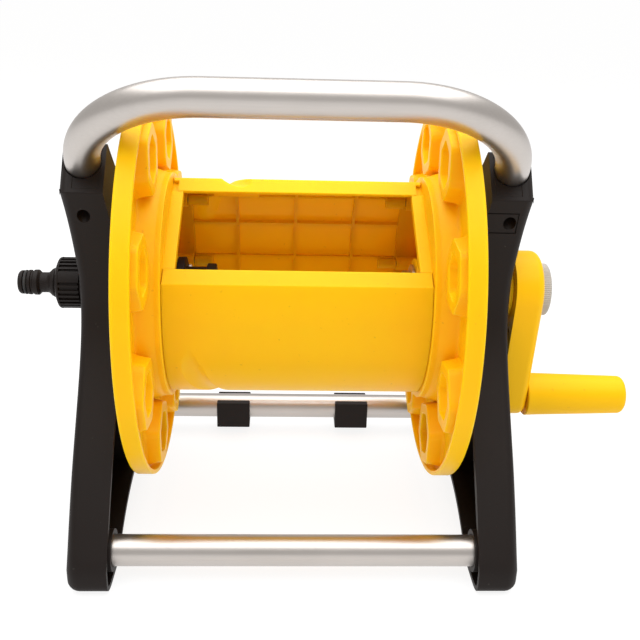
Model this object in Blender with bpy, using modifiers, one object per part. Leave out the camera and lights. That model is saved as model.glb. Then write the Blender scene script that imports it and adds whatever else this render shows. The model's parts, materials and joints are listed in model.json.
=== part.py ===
"""A free-standing garden hose reel without its hose, at its real size.

Units are metres and +Z is up. The reel stands on z = 0 with X along the axle, the crank at +X and the water
inlet at -X. Most pieces are drawn from the middle of the axle: x along it, y to the rear, z up.
"""

import math

import bmesh
import bpy
from mathutils import Matrix, Vector

MM = 0.001

# Fits
CLEARANCE = 0.3 * MM
REACH = 2 * MM  # how far a cutter runs past the face it enters
WELD = 0.01 * MM
SHARP_ANGLE = math.radians(35)

# Drum
DRUM_HALF_WIDTH = 83.3 * MM
DRUM_RADIUS = 72.5 * MM
PANEL_WALL = 2.5 * MM
PANEL_MIDDLE = math.radians(-30.7)  # direction of the front panel's middle, from the front, up positive
PANEL_HALF_ANGLE = math.radians(49.3)
PANEL_LIP = 12.5 * MM
RIB_HEIGHT = 4 * MM
RIB_THICKNESS = 2.4 * MM
RING_RIB_PITCH = 43 * MM
RING_RIB_SHIFT = -0.5 * MM
RING_RIB_SHORT = math.radians(3)  # how far a ring rib stops short of the panel's edge
BAR_RIB_ANGLES = (-22.3, 5.7, 30.0)  # degrees from the panel's middle
SCOOP_SHIFT = -48 * MM
SCOOP_WIDTH = 25 * MM
SCOOP_DEPTH = 4 * MM
SCOOP_BACKING = 9 * MM
SCOOP_SPAN = math.radians(12)

# Flanges
FLANGE_RADIUS = 129 * MM
RIM_WALL = 3 * MM
RIM_INWARD = 7.2 * MM
RIM_OUTWARD = 1 * MM
WEB_WALL = 3 * MM
COLLAR_HEIGHT = 16.4 * MM
COLLAR_LIP = 3.5 * MM
COLLAR_FLARE = 4 * MM
SPIGOT_LENGTH = 7.6 * MM
SPIGOT_WALL = 3 * MM
BOSS_COUNT = 8
BOSS_START = math.radians(22.5)
BOSS_HEIGHT = 10.5 * MM
BOSS_MARGIN = 3 * MM
BOSS_WALL = 9.6 * MM
BOSS_TAPER = 2 * MM
TOWER_RADIUS = 5 * MM
TOWER_GAP = 2 * MM
TOWER_ANGLE = math.radians(32)
PANEL_BOSS_LENGTH = 13.5 * MM
WEB_SETBACK = 0.8 * MM

# Side frames
FRAME_GAP = 12 * MM
FRAME_DEPTH = 26 * MM
FRAME_WALL = 3 * MM
AXLE_HEIGHT = 165 * MM
FOOT_REACH = 124 * MM
FOOT_LENGTH = 40 * MM
TOE_HEIGHT = 18 * MM
TOE_CHAMFER = 9 * MM
ARCH_RISE = 25 * MM
WAIST_HALF = 33.5 * MM
WAIST_HEIGHT = 3 * MM
WAIST_PULL = 39 * MM
TOE_PULL_BACK = 44 * MM
TOE_PULL_UP = 75 * MM
POCKET_TOP = 33 * MM
FLARE_START = 15 * MM
RIB_SETBACK = 3 * MM
RIB_WALL = 3 * MM

# Carry handle
HANDLE_GAP = 22.8 * MM  # hand room between the flange rim and the handle
HANDLE_ANGLE = math.radians(57.3)  # where the bar lies round the axle, from the front, up positive
HANDLE_RADIUS = 11 * MM
HANDLE_OFFSET = 3 * MM  # from the middle of the frame outwards
HANDLE_WALL = 1.5 * MM
HANDLE_BEND = 78 * MM
HANDLE_LEAN = math.radians(40.7)  # fall of the legs from the bar towards the rear
HANDLE_FREE = 72 * MM  # leg length from the bar to the frame's end face
HANDLE_SEAT = 42 * MM
HEAD_SIDE_WALL = 3 * MM
HEAD_CHIN_WALL = 10.7 * MM
HEAD_CROWN_WALL = 2.5 * MM
HEAD_LENGTH = 50 * MM

# Cross bars
BAR_RADIUS = 10 * MM
BAR_WALL = 1.5 * MM
BAR_GROUND_GAP = 11 * MM
BAR_COVER = 10.5 * MM
SOCKET_WALL = 3.2 * MM
SOCKET_PROUD = 1.5 * MM
CLIP_WALL = 3 * MM
CLIP_LENGTH = 27.5 * MM
CLIP_SHIFT = 50 * MM
CLIP_FLOOR_WALL = 4.2 * MM
CLIP_FRONT_RISE = 5 * MM
CLIP_REAR_START = math.radians(-55)
CLIP_REAR_END = math.radians(70)

# Screws
SCREW_RADIUS = 2 * MM
SCREW_HEAD = 3.8 * MM
SCREW_HEAD_HEIGHT = 2.6 * MM
SCREW_CROWN = 0.8  # top of a head as a part of its widest radius
HANDLE_SCREW_SEAT = 12 * MM  # from the frame's end face, along the leg
HANDLE_SCREW_RECESS = 9 * MM
POST_RADIUS = 6.5 * MM
BAR_SCREW_RECESS = 5 * MM
PANEL_SCREW_BITE = 12 * MM

# Water inlet
TUBE_BORE = 5 * MM
JOURNAL_RADIUS = 8.7 * MM
STUB_STEP = 5.3 * MM
STUB_COLLAR_STEP = 3 * MM
STUB_COLLAR_WIDTH = 3 * MM
THREAD_RADIUS = 13 * MM
THREAD_LENGTH = 10 * MM
LOCK_NUT_WALL = 7.5 * MM
LOCK_NUT_WIDTH = 8.5 * MM
LEFT_HUB_WALL = 4.8 * MM
CONNECTOR_RADIUS = 17.75 * MM
CONNECTOR_END_WALL = 4.2 * MM
NIPPLE_RADIUS = 8.5 * MM
NIPPLE_LENGTH = 26.5 * MM
NIPPLE_NECK = 6.6 * MM
NIPPLE_BORE = 4.5 * MM
NIPPLE_STATIONS = (0.2, 0.43, 0.82)  # neck start, neck end and seal, as parts of the nipple's length
WASHER_WIDTH = 2.5 * MM
O_RING_SECTION = 1.1 * MM
O_RING_GROOVE = 2.4 * MM
O_RING_PITCH = 6 * MM

# Outlet inside the drum
HUB_INWARD = 18.7 * MM
ELBOW_WALL = 3.4 * MM
ELBOW_SLEEVE = 24 * MM
ELBOW_RING_STEP = 6.6 * MM
ELBOW_RING_WIDTH = 5.4 * MM
ELBOW_SWIVEL = 6 * MM
ELBOW_BEAD_STEP = 2.3 * MM
ELBOW_BEAD_WIDTH = 6.4 * MM
ELBOW_SCREW_RADIUS = 1.4 * MM
ELBOW_SCREW_HEAD = 2.5 * MM
ELBOW_SCREW_BITE = 7 * MM
BRANCH_RADIUS = 10 * MM
BRANCH_BORE = 6 * MM
BRANCH_LENGTH = 44 * MM
HOSE_NUT_WALL = 5 * MM
HOSE_NUT_WIDTH = 14 * MM

# Crank
HUB_RADIUS = 20 * MM
HUB_BOSS_WALL = 5 * MM
HUB_BOSS_PROUD = 4 * MM
DRIVE_SIDE = 26 * MM
DRIVE_LENGTH = 15 * MM
CRANK_GAP = 1.5 * MM
CRANK_THICKNESS = 20 * MM
CRANK_LENGTH = 81 * MM
CRANK_HUB = 27 * MM
CRANK_END = 14.5 * MM
CRANK_WALL = 3 * MM
BOLT_RADIUS = 5 * MM
BOLT_HEAD = 12 * MM
BOLT_HEAD_HEIGHT = 6 * MM
BOLT_WASHER = 16 * MM
BOLT_WASHER_WIDTH = 2 * MM
CAP_RADIUS = 18.2 * MM
CAP_WIDTH = 6.4 * MM
CAP_TOP_WALL = 2 * MM
CAP_BEVEL = 1 * MM
GRIP_LENGTH = 73 * MM
GRIP_BASE = 15.6 * MM
GRIP_TIP = 14.3 * MM
GRIP_ROUND = 4 * MM
GRIP_BOLT_RADIUS = 3.7 * MM
GRIP_BOLT_HEAD = 6.5 * MM
GRIP_BOLT_HEAD_HEIGHT = 4 * MM
GRIP_RECESS = 7 * MM

# Roundness of turned pieces
SMALL = 8
ROUGH = 12
COARSE = 16
MEDIUM = 24
FINE = 36
HEXAGON = 6

# Steps along curves
LEG_STEPS = 9
ARCH_STEPS = 10
ARM_STEPS = 6
BEND_STEPS = 8
TUBE_RESOLUTION = 4
BORE_RESOLUTION = 2
CLIP_STEPS = 9
PANEL_STEPS = 14
RIB_STEPS = 8
SEGMENT_STEPS = 8
SCOOP_STEPS = 4
CRANK_HUB_STEPS = 16
CRANK_END_STEPS = 12
GRIP_ROUND_STEPS = 4

# Places along the axle, from the middle of the drum outwards
COLLAR_FACE = DRUM_HALF_WIDTH + CLEARANCE
SPIGOT_FACE = COLLAR_FACE - SPIGOT_LENGTH
WEB_INNER = COLLAR_FACE + COLLAR_HEIGHT
WEB_OUTER = WEB_INNER + WEB_WALL
RIM_INNER_EDGE = WEB_INNER - RIM_INWARD
RIM_OUTER_EDGE = WEB_OUTER + RIM_OUTWARD
FRAME_INNER = RIM_OUTER_EDGE + FRAME_GAP
FRAME_OUTER = FRAME_INNER + FRAME_DEPTH
FRAME_FLOOR = FRAME_OUTER - FRAME_WALL
HANDLE_X = (FRAME_INNER + FRAME_OUTER) / 2 + HANDLE_OFFSET
HEAD_OUTER = HANDLE_X + HANDLE_RADIUS + HEAD_SIDE_WALL
LOCK_NUT_OUTER = FRAME_FLOOR - CLEARANCE
LOCK_NUT_INNER = LOCK_NUT_OUTER - LOCK_NUT_WIDTH
STUB_FACE = FRAME_OUTER + CLEARANCE
THREAD_START = STUB_FACE + STUB_COLLAR_WIDTH
THREAD_END = THREAD_START + THREAD_LENGTH
CONNECTOR_START = THREAD_START + CLEARANCE
CONNECTOR_SEAT = THREAD_END + WASHER_WIDTH + 2 * CLEARANCE
CONNECTOR_END = CONNECTOR_SEAT + CONNECTOR_END_WALL
INLET_TIP = CONNECTOR_END + NIPPLE_LENGTH
HUB_FACE = WEB_INNER - HUB_INWARD
CRANK_INNER = HEAD_OUTER + CRANK_GAP
CRANK_OUTER = CRANK_INNER + CRANK_THICKNESS
DRIVE_END = CRANK_INNER + DRIVE_LENGTH
GRIP_INNER = CRANK_OUTER + CLEARANCE
GRIP_OUTER = GRIP_INNER + GRIP_LENGTH

# Radii and places round the axle
PANEL_INNER_RADIUS = DRUM_RADIUS - PANEL_WALL
SPIGOT_RADIUS = PANEL_INNER_RADIUS - CLEARANCE
SPIGOT_INNER_RADIUS = SPIGOT_RADIUS - SPIGOT_WALL
COLLAR_RADIUS = DRUM_RADIUS + COLLAR_LIP
RIM_INNER_RADIUS = FLANGE_RADIUS - RIM_WALL
FLAT_HEIGHT = DRUM_RADIUS * math.sin(PANEL_HALF_ANGLE)  # of the drum's open sides, from the axle
BOSS_CIRCLE = (COLLAR_RADIUS + RIM_INNER_RADIUS) / 2
BOSS_RADIUS = ((RIM_INNER_RADIUS - COLLAR_RADIUS) / 2 - BOSS_MARGIN) / math.cos(math.pi / HEXAGON)
BOSS_HOLE = BOSS_RADIUS - BOSS_WALL
TOWER_CIRCLE = SPIGOT_INNER_RADIUS - TOWER_RADIUS - TOWER_GAP
TOWER_END = SPIGOT_FACE + CLEARANCE
JOURNAL_BORE = JOURNAL_RADIUS + CLEARANCE
STUB_RADIUS = JOURNAL_RADIUS + STUB_STEP
STUB_COLLAR = STUB_RADIUS + STUB_COLLAR_STEP
LOCK_NUT_RADIUS = STUB_RADIUS + LOCK_NUT_WALL
ELBOW_RADIUS = JOURNAL_BORE + ELBOW_WALL
ELBOW_RING = ELBOW_RADIUS + ELBOW_RING_STEP
ELBOW_SCREW_CIRCLE = (ELBOW_RADIUS + ELBOW_RING) / 2
HOSE_NUT_RADIUS = BRANCH_RADIUS + HOSE_NUT_WALL
BAR_Y = FOOT_REACH - BAR_RADIUS - BAR_COVER
BAR_Z = BAR_RADIUS + BAR_GROUND_GAP - AXLE_HEIGHT
BAR_SEAT = BAR_RADIUS + CLEARANCE
CLIP_DROP = BAR_SEAT + CLIP_FLOOR_WALL
BAR_HALF = FRAME_FLOOR - FRAME_WALL - CLEARANCE
POST_X = (FRAME_INNER + FRAME_FLOOR) / 2

# Handle legs: a point on the bar, the direction down the leg and the direction square to it
HANDLE_ORBIT = FLANGE_RADIUS + HANDLE_GAP + HANDLE_RADIUS
HANDLE_BAR = Vector((0, -HANDLE_ORBIT * math.cos(HANDLE_ANGLE), HANDLE_ORBIT * math.sin(HANDLE_ANGLE)))
LEG = Vector((0, math.cos(HANDLE_LEAN), -math.sin(HANDLE_LEAN)))
LEG_SIDE = Vector((0, math.sin(HANDLE_LEAN), math.cos(HANDLE_LEAN)))
HEAD_FACE = HANDLE_BAR + LEG * HANDLE_FREE
HEAD_BELOW = HANDLE_RADIUS + HEAD_CHIN_WALL
HEAD_ABOVE = HANDLE_RADIUS + HEAD_CROWN_WALL

# The drum lies off the middle of the whole reel, because the crank reaches further than the inlet
DRUM_MIDDLE_X = (INLET_TIP - GRIP_OUTER) / 2


def add_collection(name):
    collection = bpy.data.collections.new(name)
    bpy.context.scene.collection.children.link(collection)
    return collection


def add_material(name, colour, roughness, metallic=0.0):
    material = bpy.data.materials.new(name)
    material.use_nodes = True
    shader = material.node_tree.nodes["Principled BSDF"]
    shader.inputs["Base Color"].default_value = (*colour, 1.0)
    shader.inputs["Roughness"].default_value = roughness
    shader.inputs["Metallic"].default_value = metallic
    return material


def add_empty(name, location, parent=None):
    empty = bpy.data.objects.new(name, None)
    empty.location = location
    empty.parent = parent
    parts.objects.link(empty)
    return empty


def add_piece(name, mesh, material):
    """An object of the reel, drawn from the middle of the axle."""
    piece = bpy.data.objects.new(name, mesh)
    piece.parent = axle
    mesh.materials.append(material)
    parts.objects.link(piece)
    return piece


def add_helper(name, mesh):
    """A shape that only cuts or is joined into a piece."""
    helper = bpy.data.objects.new(name, mesh)
    helper.parent = axle
    helper.hide_render = True
    helper.display_type = "WIRE"
    helpers.objects.link(helper)
    return helper


def combine(piece, mesh, operation):
    """Join a mesh into the piece, or cut it out of the piece."""
    helper = add_helper(f"{piece.name}_{operation.lower()}_{len(piece.modifiers)}", mesh)
    boolean = piece.modifiers.new(helper.name, "BOOLEAN")
    boolean.operation = operation
    boolean.solver = "EXACT"
    boolean.object = helper


def join(piece, *meshes):
    for mesh in meshes:
        combine(piece, mesh, "UNION")


def cut(piece, *meshes):
    for mesh in meshes:
        combine(piece, mesh, "DIFFERENCE")


def finish_mesh(shape, name):
    bmesh.ops.recalc_face_normals(shape, faces=shape.faces)
    mesh = bpy.data.meshes.new(name)
    shape.to_mesh(mesh)
    shape.free()
    mesh.shade_smooth()
    mesh.set_sharp_from_angle(angle=SHARP_ANGLE)
    return mesh


def rod(start, end, radius, segments=COARSE, end_radius=None):
    """A closed cylinder, or a cone, between two points."""
    start = Vector(start)
    run = Vector(end) - start
    place = Matrix.Translation(start + run / 2) @ run.to_track_quat("Z", "Y").to_matrix().to_4x4()
    shape = bmesh.new()
    bmesh.ops.create_cone(
        shape,
        cap_ends=True,
        segments=segments,
        radius1=radius,
        radius2=radius if end_radius is None else end_radius,
        depth=run.length,
        matrix=place,
    )
    return finish_mesh(shape, "rod")


def drafted(low_outline, high_outline, low, high):
    """A solid along X between two outlines of (y, z) points with equal counts."""
    shape = bmesh.new()
    near, far = [
        [shape.verts.new((x, y, z)) for y, z in outline]
        for x, outline in ((low, low_outline), (high, high_outline))
    ]
    for i, corner in enumerate(near):
        shape.faces.new((near[i - 1], corner, far[i], far[i - 1]))
    shape.faces.new(near)
    shape.faces.new(far)
    return finish_mesh(shape, "drafted")


def block(low, high, turn=0.0):
    """A box between two corners, turned about X round its own middle."""
    low = Vector(low)
    high = Vector(high)
    place = Matrix.Translation((low + high) / 2) @ Matrix.Rotation(turn, 4, "X")
    shape = bmesh.new()
    bmesh.ops.create_cube(shape, size=1.0, matrix=place @ Matrix.Diagonal((*(high - low), 1.0)))
    return finish_mesh(shape, "block")


def wall_between(start, end, x_low, x_high, thickness):
    """A flat rib from one (y, z) point to another."""
    run = Vector(end) - Vector(start)
    middle = (Vector(start) + Vector(end)) / 2
    half = Vector(((x_high - x_low) / 2, run.length / 2, thickness / 2))
    centre = Vector(((x_high + x_low) / 2, middle.x, middle.y))
    return block(centre - half, centre + half, math.atan2(run.y, run.x))


def mesh_of(curve_object):
    """The closed mesh of a curve, whose end caps come loose."""
    graph = bpy.context.evaluated_depsgraph_get()
    mesh = bpy.data.meshes.new_from_object(curve_object.evaluated_get(graph))
    mesh.transform(curve_object.matrix_world)
    curve = curve_object.data
    bpy.data.objects.remove(curve_object)
    bpy.data.curves.remove(curve)
    shape = bmesh.new()
    shape.from_mesh(mesh)
    bpy.data.meshes.remove(mesh)
    bmesh.ops.remove_doubles(shape, verts=shape.verts, dist=WELD)
    return finish_mesh(shape, "outline")


def slab(outline, low, high, plane="YZ"):
    """A flat outline given thickness: (y, z) points along X, or (x, z) points along Y."""
    curve = bpy.data.curves.new("outline", "CURVE")
    curve.dimensions = "2D"
    curve.fill_mode = "BOTH"
    curve.extrude = (high - low) / 2
    spline = curve.splines.new("POLY")
    spline.points.add(len(outline) - 1)
    for point, (across, along) in zip(spline.points, outline):
        point.co = (across, along, 0.0, 1.0)
    spline.use_cyclic_u = True
    drawing = bpy.data.objects.new("outline", curve)
    helpers.objects.link(drawing)
    middle = (high + low) / 2
    if plane == "YZ":
        axes = Matrix(((0, 0, 1, middle), (1, 0, 0, 0), (0, 1, 0, 0), (0, 0, 0, 1)))
    else:
        axes = Matrix(((1, 0, 0, 0), (0, 0, -1, middle), (0, 1, 0, 0), (0, 0, 0, 1)))
    drawing.matrix_world = axes
    return mesh_of(drawing)


def tube_mesh(path, radius, resolution):
    curve = bpy.data.curves.new("path", "CURVE")
    curve.dimensions = "3D"
    curve.bevel_depth = radius
    curve.bevel_resolution = resolution
    curve.use_fill_caps = True
    spline = curve.splines.new("POLY")
    spline.points.add(len(path) - 1)
    for point, place in zip(spline.points, path):
        point.co = (*place, 1.0)
    drawing = bpy.data.objects.new("path", curve)
    helpers.objects.link(drawing)
    return mesh_of(drawing)


def turned(name, profile, steps, material, middle=(0, 0)):
    """A piece turned about X through a (y, z) point, from a closed loop of (x, radius) points."""
    area = sum(
        start[1] * end[0] - end[1] * start[0]
        for start, end in zip(profile, profile[1:] + profile[:1])
    )
    ordered = profile if area < 0 else profile[::-1]
    mesh = bpy.data.meshes.new(name)
    count = len(ordered)
    edges = [(i, (i + 1) % count) for i in range(count)]
    mesh.from_pydata([(radius, 0.0, x) for x, radius in ordered], edges, [])
    piece = add_piece(name, mesh, material)
    piece.location = (0.0, *middle)
    piece.rotation_euler = (0.0, math.pi / 2, 0.0)
    screw = piece.modifiers.new("Turn", "SCREW")
    screw.steps = steps
    screw.render_steps = steps
    screw.use_merge_vertices = True
    screw.merge_threshold = WELD
    return piece


def arc(radius, start, end, count, middle=(0, 0)):
    """Points on an arc, angles from the first axis towards the second."""
    angles = [start + (end - start) * i / count for i in range(count + 1)]
    return [(middle[0] + radius * math.cos(a), middle[1] + radius * math.sin(a)) for a in angles]


def bezier(start, pull_start, pull_end, end, count):
    """Points on a cubic curve, without its last point."""
    points = []
    for i in range(count):
        t = i / count
        weights = ((1 - t) ** 3, 3 * t * (1 - t) ** 2, 3 * t * t * (1 - t), t**3)
        knots = (start, pull_start, pull_end, end)
        points.append(tuple(sum(w * k[axis] for w, k in zip(weights, knots)) for axis in (0, 1)))
    return points


def inset(outline, distance):
    """The outline moved inwards by a distance."""
    area = sum(a[0] * b[1] - b[0] * a[1] for a, b in zip(outline, outline[1:] + outline[:1]))
    turn = 1 if area > 0 else -1
    moved = []
    for i, point in enumerate(outline):
        before = Vector(point) - Vector(outline[i - 1])
        after = Vector(outline[(i + 1) % len(outline)]) - Vector(point)
        normals = [Vector((-run.y, run.x)).normalized() * turn for run in (before, after)]
        bisector = (normals[0] + normals[1]).normalized()
        moved.append(tuple(Vector(point) + bisector * (distance / bisector.dot(normals[0]))))
    return moved


def on_panel(outward, across, angle):
    """The (y, z) place of a point given along a panel's middle direction and across it."""
    return (
        -outward * math.cos(angle) + across * math.sin(angle),
        outward * math.sin(angle) + across * math.cos(angle),
    )


def round_axle(radius, angle):
    """The (y, z) place at an angle round the axle, from the front, up positive."""
    return (-radius * math.cos(angle), radius * math.sin(angle))


def yz(vector):
    return (vector.y, vector.z)


# Side frames

def leg_edge():
    """The front edge from the toe up to the waist."""
    toe = (-FOOT_REACH, TOE_HEIGHT - AXLE_HEIGHT)
    waist = (-WAIST_HALF, WAIST_HEIGHT)
    pull_toe = (toe[0] + TOE_PULL_BACK, toe[1] + TOE_PULL_UP)
    pull_waist = (waist[0], waist[1] - WAIST_PULL)
    return bezier(toe, pull_toe, pull_waist, waist, LEG_STEPS)


def foot_edge():
    """The underside from the rear toe, over the arch, to the front toe."""
    floor = -AXLE_HEIGHT
    half = FOOT_REACH - FOOT_LENGTH
    arch_radius = (half**2 + ARCH_RISE**2) / (2 * ARCH_RISE)
    spread = math.asin(half / arch_radius)
    middle = (0, floor + ARCH_RISE - arch_radius)
    arch = arc(arch_radius, math.pi / 2 - spread, math.pi / 2 + spread, ARCH_STEPS, middle)
    rear = [(FOOT_REACH, floor + TOE_CHAMFER), (FOOT_REACH - TOE_CHAMFER, floor)]
    front = [(-y, z) for y, z in reversed(rear)]
    return rear + arch + front


def lower_outline():
    """The bell-shaped lower part, from the rear waist down, round the feet and up to the front waist."""
    front = leg_edge()
    rear = [(-y, z) for y, z in reversed(front)]
    return rear + foot_edge() + front


def frame_outline():
    """The whole side view of a frame."""
    waist = (-WAIST_HALF, WAIST_HEIGHT)
    chin = yz(HEAD_FACE - LEG_SIDE * HEAD_BELOW)
    crown = yz(HEAD_FACE + LEG_SIDE * HEAD_ABOVE)
    nape = yz(HEAD_FACE + LEG_SIDE * HEAD_ABOVE + LEG * HEAD_LENGTH)
    rise = chin[1] - waist[1]
    pull_waist = (waist[0], waist[1] + rise / 3)
    pull_chin = (chin[0] + rise / 6, chin[1] - rise / 3)
    front = bezier(waist, pull_waist, pull_chin, chin, ARM_STEPS)
    behind = (WAIST_HALF, WAIST_HEIGHT)
    fall = nape[1] - behind[1]
    shoulder = (nape[0] + LEG.y * fall / 3, nape[1] + LEG.z * fall / 3)
    back = bezier(nape, shoulder, (behind[0], behind[1] + fall / 3), behind, ARM_STEPS)
    return lower_outline() + front + [chin, crown] + back + [behind]


def pocket_outline():
    """The hollow of a frame, open to the drum, which stops below the solid head."""
    top = [(-WAIST_HALF, WAIST_HEIGHT), (-WAIST_HALF, POCKET_TOP), (WAIST_HALF, POCKET_TOP)]
    return inset(lower_outline() + top + [(WAIST_HALF, WAIST_HEIGHT)], FRAME_WALL)


def screw_seat(side):
    """Where the handle screw's head sits and the direction in which it is driven."""
    target = HEAD_FACE + LEG * HANDLE_SCREW_SEAT + Vector((side * HANDLE_X, 0, 0))
    return target - LEG_SIDE * (HEAD_BELOW - HANDLE_SCREW_RECESS + SCREW_HEAD_HEIGHT), LEG_SIDE


def side_frame(side, name):
    inner, outer = side * FRAME_INNER, side * FRAME_OUTER
    floor, head = side * FRAME_FLOOR, side * HEAD_OUTER
    outline = frame_outline()
    frame = add_piece(name, slab(outline, min(inner, head), max(inner, head)), black)
    far = 2 * AXLE_HEIGHT
    flare = [
        (outer, -far),
        (outer, FLARE_START),
        (head, yz(HEAD_FACE - LEG_SIDE * HEAD_BELOW)[1]),
        (head + side * FRAME_DEPTH, yz(HEAD_FACE)[1]),
        (head + side * FRAME_DEPTH, -far),
    ]
    cut(frame, slab(flare, -far, far, "XZ"))
    mouth = inner - side * REACH
    cut(frame, slab(pocket_outline(), min(mouth, floor), max(mouth, floor)))
    rib_low, rib_high = sorted((inner + side * RIB_SETBACK, floor + side * FRAME_WALL / 2))
    middle = (0.0, 0.0)
    for end in (
        (0.0, POCKET_TOP),
        (0.0, ARCH_RISE - AXLE_HEIGHT + FRAME_WALL / 2),
        (-BAR_Y, BAR_Z),
        (BAR_Y, BAR_Z),
    ):
        join(frame, wall_between(middle, end, rib_low, rib_high, RIB_WALL))
    into_floor = floor + side * FRAME_WALL / 2
    if side < 0:
        well = LOCK_NUT_RADIUS + FRAME_WALL
        join(frame, rod((inner, 0, 0), (into_floor, 0, 0), well + FRAME_WALL, MEDIUM))
        cut(frame, rod((mouth, 0, 0), (floor, 0, 0), well, MEDIUM))
        cut(frame, rod((inner, 0, 0), (outer + side * REACH, 0, 0), STUB_RADIUS + CLEARANCE, MEDIUM))
    else:
        boss_end = inner - side * HUB_BOSS_PROUD
        join(frame, rod((boss_end, 0, 0), (into_floor, 0, 0), HUB_RADIUS + HUB_BOSS_WALL, MEDIUM))
        bore_ends = (boss_end - side * REACH, 0, 0), (outer + side * REACH, 0, 0)
        cut(frame, rod(*bore_ends, HUB_RADIUS + CLEARANCE, MEDIUM))
    for y in (-BAR_Y, BAR_Y):
        proud = inner - side * SOCKET_PROUD
        join(frame, rod((proud, y, BAR_Z), (into_floor, y, BAR_Z), BAR_SEAT + SOCKET_WALL))
        post_x = side * POST_X
        sole = -AXLE_HEIGHT
        join(frame, rod((post_x, y, sole + FRAME_WALL / 2), (post_x, y, BAR_Z), POST_RADIUS))
        bar_end = side * (BAR_HALF + CLEARANCE)
        cut(frame, rod((proud - side * REACH, y, BAR_Z), (bar_end, y, BAR_Z), BAR_SEAT))
        recess_top = sole + BAR_SCREW_RECESS
        cut(frame, rod((post_x, y, sole - REACH), (post_x, y, recess_top), SCREW_HEAD + CLEARANCE))
        cut(frame, rod((post_x, y, sole), (post_x, y, BAR_Z), SCREW_RADIUS + CLEARANCE))
    shift = Vector((side * HANDLE_X, 0, 0))
    seat = HEAD_FACE + shift + LEG * (HANDLE_SEAT + CLEARANCE)
    cut(frame, rod(HEAD_FACE + shift - LEG * HEAD_LENGTH, seat, HANDLE_RADIUS + 2 * CLEARANCE, MEDIUM))
    place, drive = screw_seat(side)
    recess = place - drive * HEAD_LENGTH, place + drive * SCREW_HEAD_HEIGHT
    cut(frame, rod(*recess, SCREW_HEAD + CLEARANCE))
    cut(frame, rod(place, place + drive * HEAD_BELOW, SCREW_RADIUS + CLEARANCE))
    return frame


# Tubes of the frame

def handle_path(extra):
    """The middle line of the handle from left to right, with a little more at both ends."""
    end = HANDLE_FREE + HANDLE_SEAT + extra
    quarter = [math.pi / 2 * i / BEND_STEPS for i in range(BEND_STEPS + 1)]
    half = [HANDLE_BAR + LEG * end + Vector((HANDLE_X, 0, 0))]
    for turn in quarter:
        along = HANDLE_BEND * (1 - math.sin(turn))
        across = HANDLE_X - HANDLE_BEND * (1 - math.cos(turn))
        half.append(HANDLE_BAR + LEG * along + Vector((across, 0, 0)))
    mirrored = [Vector((-point.x, point.y, point.z)) for point in half]
    return mirrored + half[::-1]


def carry_handle():
    outside = tube_mesh(handle_path(0.0), HANDLE_RADIUS, TUBE_RESOLUTION)
    handle = add_piece("carry_handle", outside, aluminium)
    cut(handle, tube_mesh(handle_path(REACH), HANDLE_RADIUS - HANDLE_WALL, BORE_RESOLUTION))
    for side in (-1, 1):
        place, drive = screw_seat(side)
        target = HEAD_FACE + LEG * HANDLE_SCREW_SEAT + Vector((side * HANDLE_X, 0, 0))
        cut(handle, rod(place, target, SCREW_RADIUS + CLEARANCE))


def cross_bar(name, y):
    inner = BAR_RADIUS - BAR_WALL
    profile = [(-BAR_HALF, BAR_RADIUS), (BAR_HALF, BAR_RADIUS), (BAR_HALF, inner), (-BAR_HALF, inner)]
    bar = turned(name, profile, MEDIUM, aluminium, (y, BAR_Z))
    for side in (-1, 1):
        low = BAR_Z - BAR_RADIUS - REACH
        hole = (side * POST_X, y, low), (side * POST_X, y, BAR_Z)
        cut(bar, rod(*hole, SCREW_RADIUS + CLEARANCE))


def screw(name, head_place, drive, length, radius=SCREW_RADIUS, head=SCREW_HEAD):
    """A pan-head screw from the outer face of its head along the drive direction."""
    drive = Vector(drive)
    head_place = Vector(head_place)
    seat = head_place + drive * SCREW_HEAD_HEIGHT
    piece = add_piece(name, rod(head_place, seat, head * SCREW_CROWN, SMALL, head), steel)
    join(piece, rod(head_place + drive * SCREW_HEAD_HEIGHT / 2, seat + drive * length, radius, SMALL))


def frame_screws():
    for side, word in ((-1, "left"), (1, "right")):
        place, drive = screw_seat(side)
        reach = HEAD_BELOW - HANDLE_SCREW_RECESS - HANDLE_RADIUS + HANDLE_WALL
        screw(f"{word}_handle_screw", place - drive * CLEARANCE, drive, reach + SCREW_HEAD_HEIGHT)
        for y, end in ((-BAR_Y, "front"), (BAR_Y, "rear")):
            head_z = BAR_SCREW_RECESS - AXLE_HEIGHT - SCREW_HEAD_HEIGHT - CLEARANCE
            reach = BAR_Z - BAR_RADIUS + 2 * BAR_WALL - head_z - SCREW_HEAD_HEIGHT
            screw(f"{end}_{word}_bar_screw", (side * POST_X, y, head_z), (0, 0, 1), reach)


def bar_clip(name, x):
    """A clip that is pushed on from below: flat in front and underneath, open at the top."""
    seat = BAR_SEAT
    outer = seat + CLIP_WALL
    front = math.pi - math.asin(CLIP_FRONT_RISE / seat)
    rear_corner = (outer * math.cos(CLIP_REAR_START), -CLIP_DROP)
    outline = [(-outer, CLIP_FRONT_RISE), (-outer, -CLIP_DROP), rear_corner]
    outline += arc(outer, CLIP_REAR_START, CLIP_REAR_END, CLIP_STEPS)
    outline += arc(seat, CLIP_REAR_END, front - 2 * math.pi, 2 * CLIP_STEPS)
    half = CLIP_LENGTH / 2
    clip = add_piece(name, slab(outline, x - half, x + half), black)
    clip.parent = clip_axis


# Water inlet

def o_ring(name, x, centre_radius):
    loop = arc(O_RING_SECTION, 0, 2 * math.pi, SMALL)[:-1]
    turned(name, [(x + a, centre_radius + r) for a, r in loop], COARSE, rubber)


def groove(x, radius, depth_radius, width):
    """The (x, radius) corners of a groove that is passed towards larger x."""
    low, high = x - width / 2, x + width / 2
    return [(low, radius), (low, depth_radius), (high, depth_radius), (high, radius)]


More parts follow.
